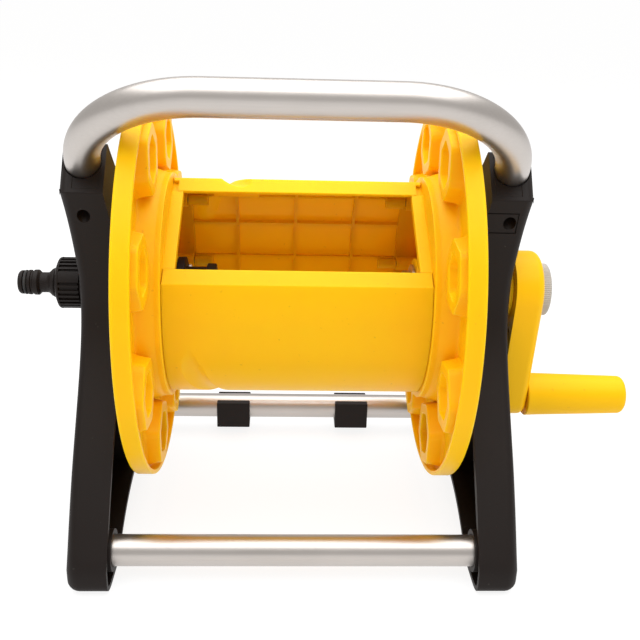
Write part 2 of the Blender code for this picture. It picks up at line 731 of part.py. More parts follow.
def water_inlet():
    swivel_end = ELBOW_SWIVEL - HUB_FACE
    ring_width = O_RING_SECTION * 2 + 2 * CLEARANCE
    ring_middle = JOURNAL_BORE - O_RING_SECTION - CLEARANCE / 2
    groove_floor = ring_middle - O_RING_SECTION - CLEARANCE
    ring_places = [swivel_end - O_RING_PITCH / 2 - i * O_RING_PITCH for i in range(2)]
    outside = [
        (-THREAD_END, THREAD_RADIUS),
        (-THREAD_START, THREAD_RADIUS),
        (-THREAD_START, STUB_COLLAR),
        (-STUB_FACE, STUB_COLLAR),
        (-STUB_FACE, STUB_RADIUS),
        (-LOCK_NUT_INNER, STUB_RADIUS),
        (-LOCK_NUT_INNER, JOURNAL_RADIUS),
    ]
    for place in reversed(ring_places):
        outside += groove(place, JOURNAL_RADIUS, groove_floor, ring_width)
    outside += [(swivel_end, JOURNAL_RADIUS), (swivel_end, TUBE_BORE), (-THREAD_END, TUBE_BORE)]
    turned("inlet_tube", outside, COARSE, black)
    for place, word in zip(ring_places, ("inner", "outer")):
        o_ring(f"{word}_swivel_o_ring", place, ring_middle)
    nut = rod((-LOCK_NUT_OUTER, 0, 0), (-LOCK_NUT_INNER, 0, 0), LOCK_NUT_RADIUS, HEXAGON)
    lock_nut = add_piece("inlet_lock_nut", nut, black)
    bore_ends = (-LOCK_NUT_OUTER - REACH, 0, 0), (-LOCK_NUT_INNER + REACH, 0, 0)
    cut(lock_nut, rod(*bore_ends, STUB_RADIUS + CLEARANCE, MEDIUM))


def inlet_connector():
    nut_end = -CONNECTOR_END
    chamfer = CONNECTOR_RADIUS / 10
    neck_high, neck_low, ring_x = [nut_end - NIPPLE_LENGTH * part for part in NIPPLE_STATIONS]
    ring_middle = NIPPLE_RADIUS - O_RING_GROOVE / 2
    groove_floor = ring_middle - O_RING_SECTION - CLEARANCE
    profile = [
        (-INLET_TIP, NIPPLE_BORE),
        (-INLET_TIP, NIPPLE_RADIUS - chamfer),
        (-INLET_TIP + chamfer, NIPPLE_RADIUS),
    ]
    profile += groove(ring_x, NIPPLE_RADIUS, groove_floor, O_RING_SECTION * 2 + 2 * CLEARANCE)
    profile += [
        (neck_low, NIPPLE_RADIUS),
        (neck_low + chamfer, NIPPLE_NECK),
        (neck_high - chamfer, NIPPLE_NECK),
        (neck_high, NIPPLE_RADIUS),
        (nut_end, NIPPLE_RADIUS + chamfer),
        (nut_end, CONNECTOR_RADIUS - chamfer),
        (nut_end + chamfer, CONNECTOR_RADIUS),
        (-CONNECTOR_START - chamfer, CONNECTOR_RADIUS),
        (-CONNECTOR_START, CONNECTOR_RADIUS - chamfer),
        (-CONNECTOR_START, THREAD_RADIUS + CLEARANCE),
        (-CONNECTOR_SEAT, THREAD_RADIUS + CLEARANCE),
        (-CONNECTOR_SEAT, NIPPLE_BORE),
    ]
    turned("inlet_connector", profile, MEDIUM, black)
    o_ring("connector_o_ring", ring_x, ring_middle)
    near, far = -THREAD_END - CLEARANCE, -THREAD_END - CLEARANCE - WASHER_WIDTH
    washer = [(far, THREAD_RADIUS), (near, THREAD_RADIUS), (near, TUBE_BORE), (far, TUBE_BORE)]
    turned("inlet_washer", washer, COARSE, rubber)


# Drum

def flange_profile(side, hub):
    """The turned section of a flange, from the hub's outer end round the rim and back."""
    section = hub["outside"] + [
        (WEB_OUTER, hub["outside"][-1][1]),
        (WEB_OUTER, RIM_INNER_RADIUS),
        (RIM_OUTER_EDGE, RIM_INNER_RADIUS),
        (RIM_OUTER_EDGE, FLANGE_RADIUS),
        (RIM_INNER_EDGE, FLANGE_RADIUS),
        (RIM_INNER_EDGE, RIM_INNER_RADIUS),
        (WEB_INNER, RIM_INNER_RADIUS),
        (WEB_INNER, COLLAR_RADIUS + COLLAR_FLARE),
        (COLLAR_FACE + COLLAR_FLARE, COLLAR_RADIUS),
        (COLLAR_FACE, COLLAR_RADIUS),
        (COLLAR_FACE, SPIGOT_RADIUS),
        (SPIGOT_FACE, SPIGOT_RADIUS),
        (SPIGOT_FACE, SPIGOT_INNER_RADIUS),
        (WEB_INNER, SPIGOT_INNER_RADIUS),
        (WEB_INNER, hub["inside"][0][1]),
    ] + hub["inside"]
    return [(side * x, radius) for x, radius in section]


def tower_places():
    """The (y, z) places of the screws that hold the two panels."""
    return [
        round_axle(TOWER_CIRCLE, PANEL_MIDDLE + half_turn + step * TOWER_ANGLE)
        for half_turn in (0, math.pi)
        for step in (-1, 1)
    ]


def lip_slots(side):
    """Slots in the spigot where the straight lips of the panels pass."""
    low, high = sorted((side * (SPIGOT_FACE - REACH), side * (COLLAR_FACE + CLEARANCE)))
    edge = FLAT_HEIGHT
    depth = DRUM_RADIUS * math.cos(PANEL_HALF_ANGLE)
    slots = []
    for angle in (PANEL_MIDDLE, PANEL_MIDDLE + math.pi):
        for turn in (-1, 1):
            across = [turn * (edge + CLEARANCE), turn * (edge - PANEL_WALL - CLEARANCE)]
            outward = [depth - PANEL_LIP - CLEARANCE, depth]
            corners = [(outward[i], across[j]) for i, j in ((0, 0), (1, 0), (1, 1), (0, 1))]
            slots.append(slab([on_panel(*corner, angle) for corner in corners], low, high))
    return slots


def spigot_flat(side, angle):
    """For one open side of the drum: what is cut off the spigot, its flat wall and the plate behind it."""
    reach = DRUM_RADIUS * math.cos(PANEL_HALF_ANGLE) - PANEL_WALL
    top = FLAT_HEIGHT - CLEARANCE
    bottom = FLAT_HEIGHT - 2 * SPIGOT_WALL
    face = COLLAR_FACE + CLEARANCE

    def flat_box(half, low, high, near, far):
        corners = [(-half, low), (half, low), (half, high), (-half, high)]
        return slab([on_panel(*corner, angle) for corner in corners], *sorted((side * near, side * far)))

    waste = flat_box(COLLAR_RADIUS, FLAT_HEIGHT, COLLAR_RADIUS + REACH, SPIGOT_FACE - REACH, face)
    wall = flat_box(reach, bottom, top, SPIGOT_FACE + CLEARANCE, face + 2 * CLEARANCE)
    radius = SPIGOT_INNER_RADIUS + SPIGOT_WALL / 2
    spread = math.acos((bottom + SPIGOT_WALL / 2) / radius)
    segment = arc(radius, math.pi / 2 - spread, math.pi / 2 + spread, SEGMENT_STEPS)
    outline = [on_panel(*point, angle) for point in segment]
    plate = slab(outline, *sorted((side * (face + CLEARANCE), side * (face + WEB_WALL))))
    return waste, wall, plate


def boss_outline(angle, radius):
    """A six-sided outline on the boss circle, two of its sides square to the direction of the axle."""
    start = math.pi / HEXAGON - angle
    return arc(radius, start, start + 2 * math.pi, HEXAGON, round_axle(BOSS_CIRCLE, angle))[:-1]


def flange(side, name, hub):
    piece = turned(name, flange_profile(side, hub), FINE, yellow)
    top = side * (WEB_INNER - BOSS_HEIGHT)
    root = side * (WEB_INNER + WEB_WALL / 2)
    ends = side * (WEB_INNER - BOSS_HEIGHT - REACH), side * (WEB_OUTER + REACH)
    for i in range(BOSS_COUNT):
        angle = BOSS_START + i * 2 * math.pi / BOSS_COUNT
        crest = boss_outline(angle, BOSS_RADIUS - BOSS_TAPER)
        hole = boss_outline(angle, BOSS_HOLE)
        join(piece, drafted(boss_outline(angle, BOSS_RADIUS), crest, root, top))
        cut(piece, drafted(hole, hole, *ends))
    for angle in (PANEL_MIDDLE, PANEL_MIDDLE + math.pi):
        waste, wall, plate = spigot_flat(side, angle)
        cut(piece, waste)
        join(piece, wall, plate)
    cut(piece, *lip_slots(side))
    for y, z in tower_places():
        join(piece, rod((root, y, z), (side * TOWER_END, y, z), TOWER_RADIUS, SMALL))
        hole = SCREW_RADIUS + CLEARANCE
        cut(piece, rod((ends[1], y, z), (side * (TOWER_END - REACH), y, z), hole, SMALL))
    return piece


def flanges():
    sleeve_bore = ELBOW_RADIUS + CLEARANCE
    sleeve_end = HUB_FACE + ELBOW_SLEEVE + CLEARANCE
    left_hub_radius = sleeve_bore + LEFT_HUB_WALL
    left_end = LOCK_NUT_INNER - 2 * CLEARANCE
    boss_radius = ELBOW_RING + CLEARANCE
    left = flange(
        -1,
        "left_flange",
        {
            "outside": [(left_end, JOURNAL_BORE), (left_end, left_hub_radius)],
            "inside": [
                (WEB_INNER, boss_radius),
                (HUB_FACE, boss_radius),
                (HUB_FACE, sleeve_bore),
                (sleeve_end, sleeve_bore),
                (sleeve_end, JOURNAL_BORE),
            ],
        },
    )
    for y, z in elbow_screw_places():
        hole = ELBOW_SCREW_RADIUS + CLEARANCE
        deep = ELBOW_SCREW_BITE + CLEARANCE
        cut(left, rod((-HUB_FACE + REACH, y, z), (-HUB_FACE - deep, y, z), hole, SMALL))
    pilot = BOLT_RADIUS / 2
    right_end = CRANK_INNER - CLEARANCE
    right = flange(
        1,
        "right_flange",
        {
            "outside": [(right_end, pilot), (right_end, HUB_RADIUS)],
            "inside": [(WEB_INNER, HUB_RADIUS), (HUB_FACE, HUB_RADIUS), (HUB_FACE, pilot)],
        },
    )
    half = DRIVE_SIDE / 2
    join(right, block((FRAME_OUTER, -half, -half), (DRIVE_END, half, half)))
    cut(right, rod((HUB_FACE - REACH, 0, 0), (DRIVE_END + REACH, 0, 0), BOLT_RADIUS + CLEARANCE))


def panel_section(angle):
    half = PANEL_HALF_ANGLE
    edge = FLAT_HEIGHT
    lip_end = DRUM_RADIUS * math.cos(half) - PANEL_LIP
    inner_half = math.asin((edge - PANEL_WALL) / PANEL_INNER_RADIUS)
    section = arc(DRUM_RADIUS, half, -half, PANEL_STEPS)
    section += [(lip_end, -edge), (lip_end, PANEL_WALL - edge)]
    section += arc(PANEL_INNER_RADIUS, -inner_half, inner_half, PANEL_STEPS)
    section += [(lip_end, edge - PANEL_WALL), (lip_end, edge)]
    return [on_panel(outward, across, angle) for outward, across in section]


def ring_rib(angle, x):
    half = PANEL_HALF_ANGLE - RING_RIB_SHORT
    section = arc(PANEL_INNER_RADIUS + PANEL_WALL / 2, half, -half, RIB_STEPS)
    section += arc(PANEL_INNER_RADIUS - RIB_HEIGHT, -half, half, RIB_STEPS)
    outline = [on_panel(outward, across, angle) for outward, across in section]
    return slab(outline, x - RIB_THICKNESS / 2, x + RIB_THICKNESS / 2)


def panel_boss(place, side):
    """A screw boss inside the panel with the web that carries it."""
    y, z = place
    start, end = SPIGOT_FACE - CLEARANCE, SPIGOT_FACE - CLEARANCE - PANEL_BOSS_LENGTH
    low, high = sorted((side * start, side * end))
    wall = [part * (PANEL_INNER_RADIUS + PANEL_WALL / 2) / TOWER_CIRCLE for part in place]
    web = wall_between(place, wall, low + WEB_SETBACK, high - WEB_SETBACK, RIB_WALL)
    return rod((side * start, y, z), (side * end, y, z), TOWER_RADIUS, SMALL), web


def scoop_shapes(angle):
    """The backing behind the hose notch at a panel's edge, and the round cutter that makes the notch."""
    edge = PANEL_HALF_ANGLE
    corner = Vector((DRUM_RADIUS * math.cos(edge), -DRUM_RADIUS * math.sin(edge)))
    out = Vector((math.cos(edge / 2), -math.sin(edge / 2)))
    out = (out + Vector((0, -1))).normalized()
    inside = PANEL_WALL / 2
    backing = arc(DRUM_RADIUS - inside, -edge + SCOOP_SPAN, -edge + inside / DRUM_RADIUS, SCOOP_STEPS)
    backing += [(corner.x - PANEL_LIP + inside, corner.y + inside)]
    backing += [(corner.x - PANEL_LIP + inside, corner.y + inside + SCOOP_BACKING / 2)]
    backing += [tuple(Vector(backing[0]) - Vector((math.cos(edge), -math.sin(edge))) * SCOOP_BACKING)]
    wide = SCOOP_WIDTH / 2 + PANEL_WALL
    outline = [on_panel(outward, across, angle) for outward, across in backing]
    support = slab(outline, SCOOP_SHIFT - wide, SCOOP_SHIFT + wide)
    radius = ((SCOOP_WIDTH / 2) ** 2 + SCOOP_DEPTH**2) / (2 * SCOOP_DEPTH)
    centre = corner + out * (radius - SCOOP_DEPTH)
    along = Vector((-out.y, out.x))
    reach = PANEL_LIP + PANEL_WALL
    ends = [on_panel(*(centre + along * step), angle) for step in (-reach, reach)]
    cutter = rod((SCOOP_SHIFT, *ends[0]), (SCOOP_SHIFT, *ends[1]), radius, MEDIUM)
    return support, cutter


def drum_panel(name, angle, places):
    panel = add_piece(name, slab(panel_section(angle), -DRUM_HALF_WIDTH, DRUM_HALF_WIDTH), yellow)
    for step in (-1, 0, 1):
        join(panel, ring_rib(angle, RING_RIB_SHIFT + step * RING_RIB_PITCH))
    rib_half = SPIGOT_FACE - CLEARANCE
    for turn in BAR_RIB_ANGLES:
        outer = round_axle(PANEL_INNER_RADIUS + PANEL_WALL / 2, angle + math.radians(turn))
        inner = round_axle(PANEL_INNER_RADIUS - RIB_HEIGHT, angle + math.radians(turn))
        join(panel, wall_between(inner, outer, -rib_half, rib_half, RIB_THICKNESS))
    support, cutter = scoop_shapes(angle)
    join(panel, support)
    for place in places:
        for side in (-1, 1):
            join(panel, *panel_boss(place, side))
            deep = SPIGOT_FACE - CLEARANCE - PANEL_SCREW_BITE - CLEARANCE
            hole = (side * (SPIGOT_FACE + REACH), *place), (side * deep, *place)
            cut(panel, rod(*hole, SCREW_RADIUS + CLEARANCE, SMALL))
    cut(panel, cutter)


def panel_screws():
    reach = WEB_OUTER - SPIGOT_FACE + PANEL_SCREW_BITE
    for side, word in ((-1, "left"), (1, "right")):
        for i, (y, z) in enumerate(tower_places(), 1):
            head_x = side * (WEB_OUTER + CLEARANCE + SCREW_HEAD_HEIGHT)
            screw(f"{word}_panel_screw_{i}", (head_x, y, z), (-side, 0, 0), reach)


def elbow_screw_places():
    square = PANEL_MIDDLE
    return [round_axle(ELBOW_SCREW_CIRCLE, square + half_turn) for half_turn in (0, math.pi)]


def outlet_elbow():
    """The outlet that turns with the drum: its sleeve runs on the inlet tube inside the left hub."""
    face = -HUB_FACE + CLEARANCE
    swivel_end = face + ELBOW_SWIVEL
    branch_x = swivel_end + CLEARANCE + BRANCH_BORE
    end = branch_x + BRANCH_RADIUS + ELBOW_WALL
    sleeve_end = face - ELBOW_SLEEVE
    elbow = add_piece("outlet_elbow", rod((sleeve_end, 0, 0), (end, 0, 0), ELBOW_RADIUS, MEDIUM), black)
    ring_end = face + ELBOW_RING_WIDTH
    join(elbow, rod((face, 0, 0), (ring_end, 0, 0), ELBOW_RING, MEDIUM))
    bead = ELBOW_RADIUS + ELBOW_BEAD_STEP
    join(elbow, rod((end - ELBOW_BEAD_WIDTH, 0, 0), (end + CLEARANCE, 0, 0), bead, MEDIUM))
    gap = PANEL_MIDDLE + math.pi / 2 + math.pi
    tip = (branch_x, *round_axle(BRANCH_LENGTH, gap))
    join(elbow, rod((branch_x, 0, 0), tip, BRANCH_RADIUS))
    past = (branch_x, *round_axle(BRANCH_LENGTH + REACH, gap))
    cut(elbow, rod((sleeve_end - REACH, 0, 0), (swivel_end, 0, 0), JOURNAL_BORE, MEDIUM))
    cut(elbow, rod((face, 0, 0), (branch_x, 0, 0), BRANCH_BORE))
    cut(elbow, rod((branch_x, 0, 0), past, BRANCH_BORE))
    for i, (y, z) in enumerate(elbow_screw_places(), 1):
        hole_ends = (face - REACH, y, z), (ring_end + REACH, y, z)
        cut(elbow, rod(*hole_ends, ELBOW_SCREW_RADIUS + CLEARANCE, ROUGH))
        head_x = ring_end + CLEARANCE + SCREW_HEAD_HEIGHT
        reach = ELBOW_RING_WIDTH + ELBOW_SCREW_BITE - CLEARANCE
        size = ELBOW_SCREW_RADIUS, ELBOW_SCREW_HEAD
        screw(f"elbow_screw_{i}", (head_x, y, z), (-1, 0, 0), reach, *size)
    nut_ends = [BRANCH_LENGTH - HOSE_NUT_WIDTH, BRANCH_LENGTH - CLEARANCE]
    low, high = [Vector((branch_x, *round_axle(radius, gap))) for radius in nut_ends]
    nut = add_piece("hose_nut", rod(low, high, HOSE_NUT_RADIUS), black)
    stretch = (high - low).normalized() * REACH
    cut(nut, rod(low - stretch, high + stretch, BRANCH_RADIUS + CLEARANCE))


# Crank

def crank_outline(hub, end):
    """Two round ends joined by straight sides."""
    tilt = math.asin((hub - end) / CRANK_LENGTH)
    upper = arc(hub, -tilt, math.pi + tilt, CRANK_HUB_STEPS)
    lower = arc(end, math.pi + tilt, 2 * math.pi - tilt, CRANK_END_STEPS, (0, -CRANK_LENGTH))
    return upper + lower


def crank_arm():
    body = slab(crank_outline(CRANK_HUB, CRANK_END), CRANK_INNER, CRANK_OUTER)
    arm = add_piece("crank_arm", body, yellow)
    half = DRIVE_SIDE / 2 + CLEARANCE
    cut(arm, block((CRANK_INNER - REACH, -half, -half), (DRIVE_END + CLEARANCE, half, half)))
    cut(arm, rod((CRANK_INNER, 0, 0), (CRANK_OUTER + REACH, 0, 0), BOLT_RADIUS + CLEARANCE))
    top = -CRANK_HUB + CRANK_WALL
    bottom = CRANK_END - CRANK_LENGTH - CRANK_WALL
    slope = (CRANK_HUB - CRANK_END) / CRANK_LENGTH
    widths = [CRANK_HUB + slope * z - 2 * CRANK_WALL for z in (top, bottom)]
    pocket = [(-widths[0], top), (widths[0], top), (widths[1], bottom), (-widths[1], bottom)]
    cut(arm, slab(pocket, CRANK_INNER - REACH, CRANK_OUTER - CRANK_WALL))
    hole_ends = (CRANK_INNER + CRANK_WALL, 0, -CRANK_LENGTH), (CRANK_OUTER + REACH, 0, -CRANK_LENGTH)
    cut(arm, rod(*hole_ends, GRIP_BOLT_RADIUS + CLEARANCE))


def crank_bolt():
    washer_in = HUB_FACE - CLEARANCE - BOLT_WASHER_WIDTH
    washer_out = HUB_FACE - CLEARANCE
    hole = BOLT_RADIUS + CLEARANCE
    loop = [(washer_in, BOLT_WASHER), (washer_out, BOLT_WASHER), (washer_out, hole), (washer_in, hole)]
    turned("crank_bolt_washer", loop, COARSE, steel)
    head_out = washer_in - CLEARANCE
    head_in = head_out - BOLT_HEAD_HEIGHT
    bolt = add_piece("crank_bolt", rod((head_in, 0, 0), (head_out, 0, 0), BOLT_HEAD, HEXAGON), steel)
    end = CRANK_OUTER + CAP_WIDTH - CAP_TOP_WALL
    join(bolt, rod((head_out - BOLT_HEAD_HEIGHT / 2, 0, 0), (end, 0, 0), BOLT_RADIUS))
    near, far = CRANK_OUTER + CLEARANCE, CRANK_OUTER + CLEARANCE + CAP_WIDTH
    depth = end + CLEARANCE
    cap = add_piece("crank_cap", rod((near, 0, 0), (far - CAP_BEVEL, 0, 0), CAP_RADIUS, FINE), grey)
    top_radii = CAP_RADIUS - CAP_BEVEL / 4, CAP_RADIUS - CAP_BEVEL
    join(cap, rod((far - 2 * CAP_BEVEL, 0, 0), (far, 0, 0), top_radii[0], FINE, top_radii[1]))
    cut(cap, rod((near - REACH, 0, 0), (depth, 0, 0), BOLT_RADIUS + CLEARANCE))


def crank_grip():
    bore = GRIP_BOLT_RADIUS + CLEARANCE
    recess = GRIP_BOLT_HEAD + 2 * CLEARANCE
    floor = GRIP_OUTER - GRIP_RECESS
    round_middle = (GRIP_TIP - GRIP_ROUND, GRIP_OUTER - GRIP_ROUND)
    rounding = arc(GRIP_ROUND, 0, math.pi / 2, GRIP_ROUND_STEPS, round_middle)
    profile = [(GRIP_INNER, bore), (GRIP_INNER, GRIP_BASE)]
    profile += [(x, radius) for radius, x in rounding]
    profile += [(GRIP_OUTER, recess), (floor, recess), (floor, bore)]
    grip = turned("crank_grip", profile, MEDIUM, yellow)
    grip.parent = grip_axis
    head_in = floor + CLEARANCE
    head_out = head_in + GRIP_BOLT_HEAD_HEIGHT
    z = -CRANK_LENGTH
    bolt = add_piece("grip_bolt", rod((head_in, 0, z), (head_out, 0, z), GRIP_BOLT_HEAD), steel)
    end = CRANK_INNER + CRANK_WALL + CLEARANCE
    join(bolt, rod((end, 0, z), (head_in + GRIP_BOLT_HEAD_HEIGHT / 2, 0, z), GRIP_BOLT_RADIUS))


for leftover in list(bpy.data.objects):
    bpy.data.objects.remove(leftover)

parts = add_collection("hose_reel")
helpers = add_collection("hose_reel_cutters")

yellow = add_material("yellow_plastic", (0.90, 0.55, 0.01), 0.38)
black = add_material("black_plastic", (0.018, 0.016, 0.015), 0.5)
aluminium = add_material("satin_aluminium", (0.72, 0.70, 0.68), 0.32, 1.0)
steel = add_material("zinc_steel", (0.60, 0.60, 0.62), 0.3, 1.0)
grey = add_material("grey_plastic", (0.42, 0.41, 0.40), 0.45)
rubber = add_material("black_rubber", (0.012, 0.012, 0.012), 0.7)

axle = add_empty("axle", (DRUM_MIDDLE_X, 0.0, AXLE_HEIGHT))
grip_axis = add_empty("grip_axis", (0.0, 0.0, -CRANK_LENGTH), axle)
clip_axis = add_empty("clip_axis", (0.0, BAR_Y, BAR_Z), axle)

side_frame(-1, "left_side_frame")
side_frame(1, "right_side_frame")
carry_handle()
cross_bar("front_cross_bar", -BAR_Y)
cross_bar("rear_cross_bar", BAR_Y)
frame_screws()
bar_clip("left_bar_clip", -CLIP_SHIFT)
bar_clip("right_bar_clip", CLIP_SHIFT)
water_inlet()
inlet_connector()
flanges()
screw_places = tower_places()
drum_panel("front_drum_panel", PANEL_MIDDLE, screw_places[:2])
drum_panel("rear_drum_panel", PANEL_MIDDLE + math.pi, screw_places[2:])
panel_screws()
outlet_elbow()
crank_arm()
crank_bolt()
crank_grip()
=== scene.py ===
import json
import math

import bpy
from mathutils import Matrix, Vector


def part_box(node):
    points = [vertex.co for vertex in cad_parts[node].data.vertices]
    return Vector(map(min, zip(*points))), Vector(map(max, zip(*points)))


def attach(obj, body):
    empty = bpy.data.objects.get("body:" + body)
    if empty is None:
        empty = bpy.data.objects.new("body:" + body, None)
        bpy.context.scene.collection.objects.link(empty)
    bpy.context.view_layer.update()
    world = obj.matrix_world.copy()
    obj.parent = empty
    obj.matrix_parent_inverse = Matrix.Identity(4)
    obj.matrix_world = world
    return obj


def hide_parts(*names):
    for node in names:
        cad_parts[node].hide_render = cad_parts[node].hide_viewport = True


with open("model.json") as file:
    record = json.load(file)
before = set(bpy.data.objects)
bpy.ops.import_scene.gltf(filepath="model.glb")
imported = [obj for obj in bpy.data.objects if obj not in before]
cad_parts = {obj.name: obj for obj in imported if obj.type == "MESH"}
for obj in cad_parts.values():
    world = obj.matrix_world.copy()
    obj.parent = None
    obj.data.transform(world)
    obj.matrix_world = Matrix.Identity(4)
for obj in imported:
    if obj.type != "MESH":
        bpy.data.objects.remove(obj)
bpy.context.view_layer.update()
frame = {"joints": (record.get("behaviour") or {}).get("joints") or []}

mm = 0.001
fullTurn = 2 * math.pi
joints = {joint["name"]: Vector(joint["pos_m"]) for joint in frame["joints"]}
axle = joints["drum_spin"]  # middle of the drum, on the axle
alongAxle = Vector((1, 0, 0))


def at(x, y, z):  # millimetres from the middle of the drum, y to the rear
    return axle + Vector((x, y, z)) * mm


def fromAxle(point):  # a place of the frame, back in those millimetres
    return (Vector(point) - axle) / mm


# Modelling by hand, in a few short moves

def selectOnly(*pieces):
    if bpy.context.mode != "OBJECT":
        bpy.ops.object.mode_set(mode="OBJECT")
    bpy.ops.object.select_all(action="DESELECT")
    for piece in pieces:
        piece.select_set(True)
    if pieces:
        bpy.context.view_layer.objects.active = pieces[0]


def editAll(piece):
    selectOnly(piece)
    bpy.ops.object.mode_set(mode="EDIT")
    bpy.ops.mesh.select_all(action="SELECT")


def editNone(piece):  # nothing chosen in its mesh, so that a test can choose
    editAll(piece)
    bpy.ops.mesh.select_all(action="DESELECT")
    bpy.ops.object.mode_set(mode="OBJECT")


def cleanMesh(piece):
    editAll(piece)
    bpy.ops.mesh.remove_doubles(threshold=0.001 * mm)
    bpy.ops.mesh.delete_loose(use_verts=True, use_edges=True, use_faces=False)
    bpy.ops.mesh.select_all(action="SELECT")
    bpy.ops.mesh.normals_make_consistent(inside=False)
    bpy.ops.object.mode_set(mode="OBJECT")
    return piece


def facingOut(piece):  # a closed shape that is inside out shows it by its volume
    mesh = piece.data
    mesh.calc_loop_triangles()
    volume = 0.0
    for triangle in mesh.loop_triangles:
        a, b, c = [mesh.vertices[i].co for i in triangle.vertices]
        volume += a.dot(b.cross(c))
    if volume < 0:
        editAll(piece)
        bpy.ops.mesh.flip_normals()
        bpy.ops.object.mode_set(mode="OBJECT")
    return piece


def settle(piece):  # the place goes into the mesh
    selectOnly(piece)
    bpy.ops.object.transform_apply(location=True, rotation=True, scale=True)
    return piece


def drawFace(name, points):
    # one vertex, walked round the points by extruding it, then closed with a face
    selectOnly()
    bpy.ops.mesh.primitive_plane_add(size=mm, location=points[0])
    piece = bpy.context.object
    piece.name = name
    settle(piece)
    editAll(piece)
    bpy.ops.mesh.merge(type="CENTER")
    for last, point in zip(points, points[1:]):
        bpy.ops.mesh.extrude_region_move(TRANSFORM_OT_translate={"value": Vector(point) - Vector(last)})
    bpy.ops.mesh.select_all(action="SELECT")
    bpy.ops.mesh.edge_face_add()
    return piece


def slab(name, points, push):
    piece = drawFace(name, points)
    bpy.ops.mesh.extrude_region_move(TRANSFORM_OT_translate={"value": Vector(push)})
    return cleanMesh(piece)


def prism(name, outline, low, high):  # an outline of (y, z) points, given its width along the axle
    return slab(name, [at(low, y, z) for y, z in outline], ((high - low) * mm, 0, 0))


def lathe(name, profile, steps=96, centre=(0, 0)):
    # a closed loop of (x, radius) points, spun round a line along the axle's direction
    y, z = centre
    piece = drawFace(name, [at(x, y, z + radius) for x, radius in profile])
    bpy.ops.mesh.delete(type="ONLY_FACE")
    bpy.ops.mesh.select_all(action="SELECT")
    middle = at(0, y, z)
    bpy.ops.mesh.spin(steps=steps, angle=fullTurn, center=middle, axis=alongAxle, use_auto_merge=True)
    return cleanMesh(piece)


def ringed(name, profile, outline, centre):
    # an outline round a centre, pulled through steps of (x, size) and closed on itself
    y, z = centre
    x, size = profile[0]
    piece = drawFace(name, [at(x, y + size * a, z + size * b) for a, b in outline])
    bpy.ops.mesh.delete(type="ONLY_FACE")
    bpy.ops.mesh.select_all(action="SELECT")
    for (x, size), (nextX, nextSize) in zip(profile, profile[1:] + profile[:1]):
        bpy.ops.mesh.extrude_region_move(TRANSFORM_OT_translate={"value": ((nextX - x) * mm, 0, 0)})
        share = nextSize / size
        bpy.ops.transform.resize(value=(1, share, share), center_override=at(0, y, z))
    return cleanMesh(piece)


def rod(start, end, radius, endRadius=None, sides=48):
    start, end = at(*start), at(*end)
    run = end - start
    selectOnly()
    bpy.ops.mesh.primitive_cone_add(
        vertices=sides,
        radius1=radius * mm,
        radius2=(radius if endRadius is None else endRadius) * mm,
        depth=run.length,
        location=(start + end) / 2,
        rotation=run.to_track_quat("Z", "Y").to_euler(),
    )
    return settle(bpy.context.object)


def pin(start, end, radius, place=(0, 0), sides=48):  # a rod along the axle's direction
    return rod((start, *place), (end, *place), radius, sides=sides)


def block(low, high, turn=0.0):  # turned about the axle's direction round its own middle
    low, high = Vector(low), Vector(high)
    selectOnly()
    bpy.ops.mesh.primitive_cube_add(
        size=mm,
        location=at(*(low + high) / 2),
        rotation=(turn, 0, 0),
        scale=high - low,
    )
    return settle(bpy.context.object)


def wallBetween(start, end, lowX, highX, thickness):  # a flat rib from one (y, z) point to another
    run = Vector(end) - Vector(start)
    middle = (Vector(start) + Vector(end)) / 2
    half = Vector(((highX - lowX) / 2, run.length / 2, thickness / 2))
    centre = Vector(((highX + lowX) / 2, middle.x, middle.y))
    return block(centre - half, centre + half, math.atan2(run.y, run.x))


def joined(*pieces):
    selectOnly(*pieces)
    if len(pieces) > 1:
        bpy.ops.object.join()
    return pieces[0]


def applied(piece, kind, **settings):
    modifier = piece.modifiers.new(kind.lower(), kind)
    for key, value in settings.items():
        setattr(modifier, key, value)
    selectOnly(piece)
    bpy.ops.object.modifier_apply(modifier=modifier.name)
    return piece


def combine(piece, operation, *tools):  # tools that stay clear of each other go in together
    tool = joined(*tools)
    applied(piece, "BOOLEAN", operation=operation, solver="EXACT", object=tool)
    bpy.data.objects.remove(tool)
    return piece


def add(piece, *tools):
    return combine(piece, "UNION", *tools)


def cut(piece, *tools):
    return combine(piece, "DIFFERENCE", *tools)


def copied(piece, name, change=None):  # each copy has its own mesh
    selectOnly(piece)
    bpy.ops.object.duplicate(linked=False)
    twin = bpy.context.object
    twin.name = name
    if change is not None:
        twin.matrix_world = change @ twin.matrix_world
        settle(twin)
    return twin


def turnedRound(angle, centre=None, axis=alongAxle):
    centre = axle if centre is None else centre
    return Matrix.Translation(centre) @ Matrix.Rotation(angle, 4, axis) @ Matrix.Translation(-centre)


def ringOf(piece, count):  # copies round the axle
    twins = [copied(piece, piece.name, turnedRound(fullTurn * i / count)) for i in range(1, count)]
    return [piece] + twins


def stood(piece, place, direction):  # from lying along the axle's direction at its middle to a new place
    turn = alongAxle.rotation_difference(Vector(direction)).to_matrix().to_4x4()
    piece.matrix_world = Matrix.Translation(place) @ turn @ Matrix.Translation(-axle)
    return settle(piece)


def edgeBevel(piece, width, test, segments=3):
    # rounds the edges for which the test gives a share of the width
    mesh = piece.data
    touching = {}
    for face in mesh.polygons:
        for key in face.edge_keys:
            touching.setdefault(key, []).append(face)
    weights = mesh.attributes.new("bevel_weight_edge", "FLOAT", "EDGE")
    for edge in mesh.edges:
        ends = [fromAxle(mesh.vertices[i].co) for i in edge.vertices]
        weights.data[edge.index].value = test(*ends, touching.get(edge.key, []))
    applied(
        piece,
        "BEVEL",
        limit_method="WEIGHT",
        width=width * mm,
        segments=segments,
        use_clamp_overlap=False,
    )
    old = piece.data.attributes.get("bevel_weight_edge")
    if old:
        piece.data.attributes.remove(old)
    return piece


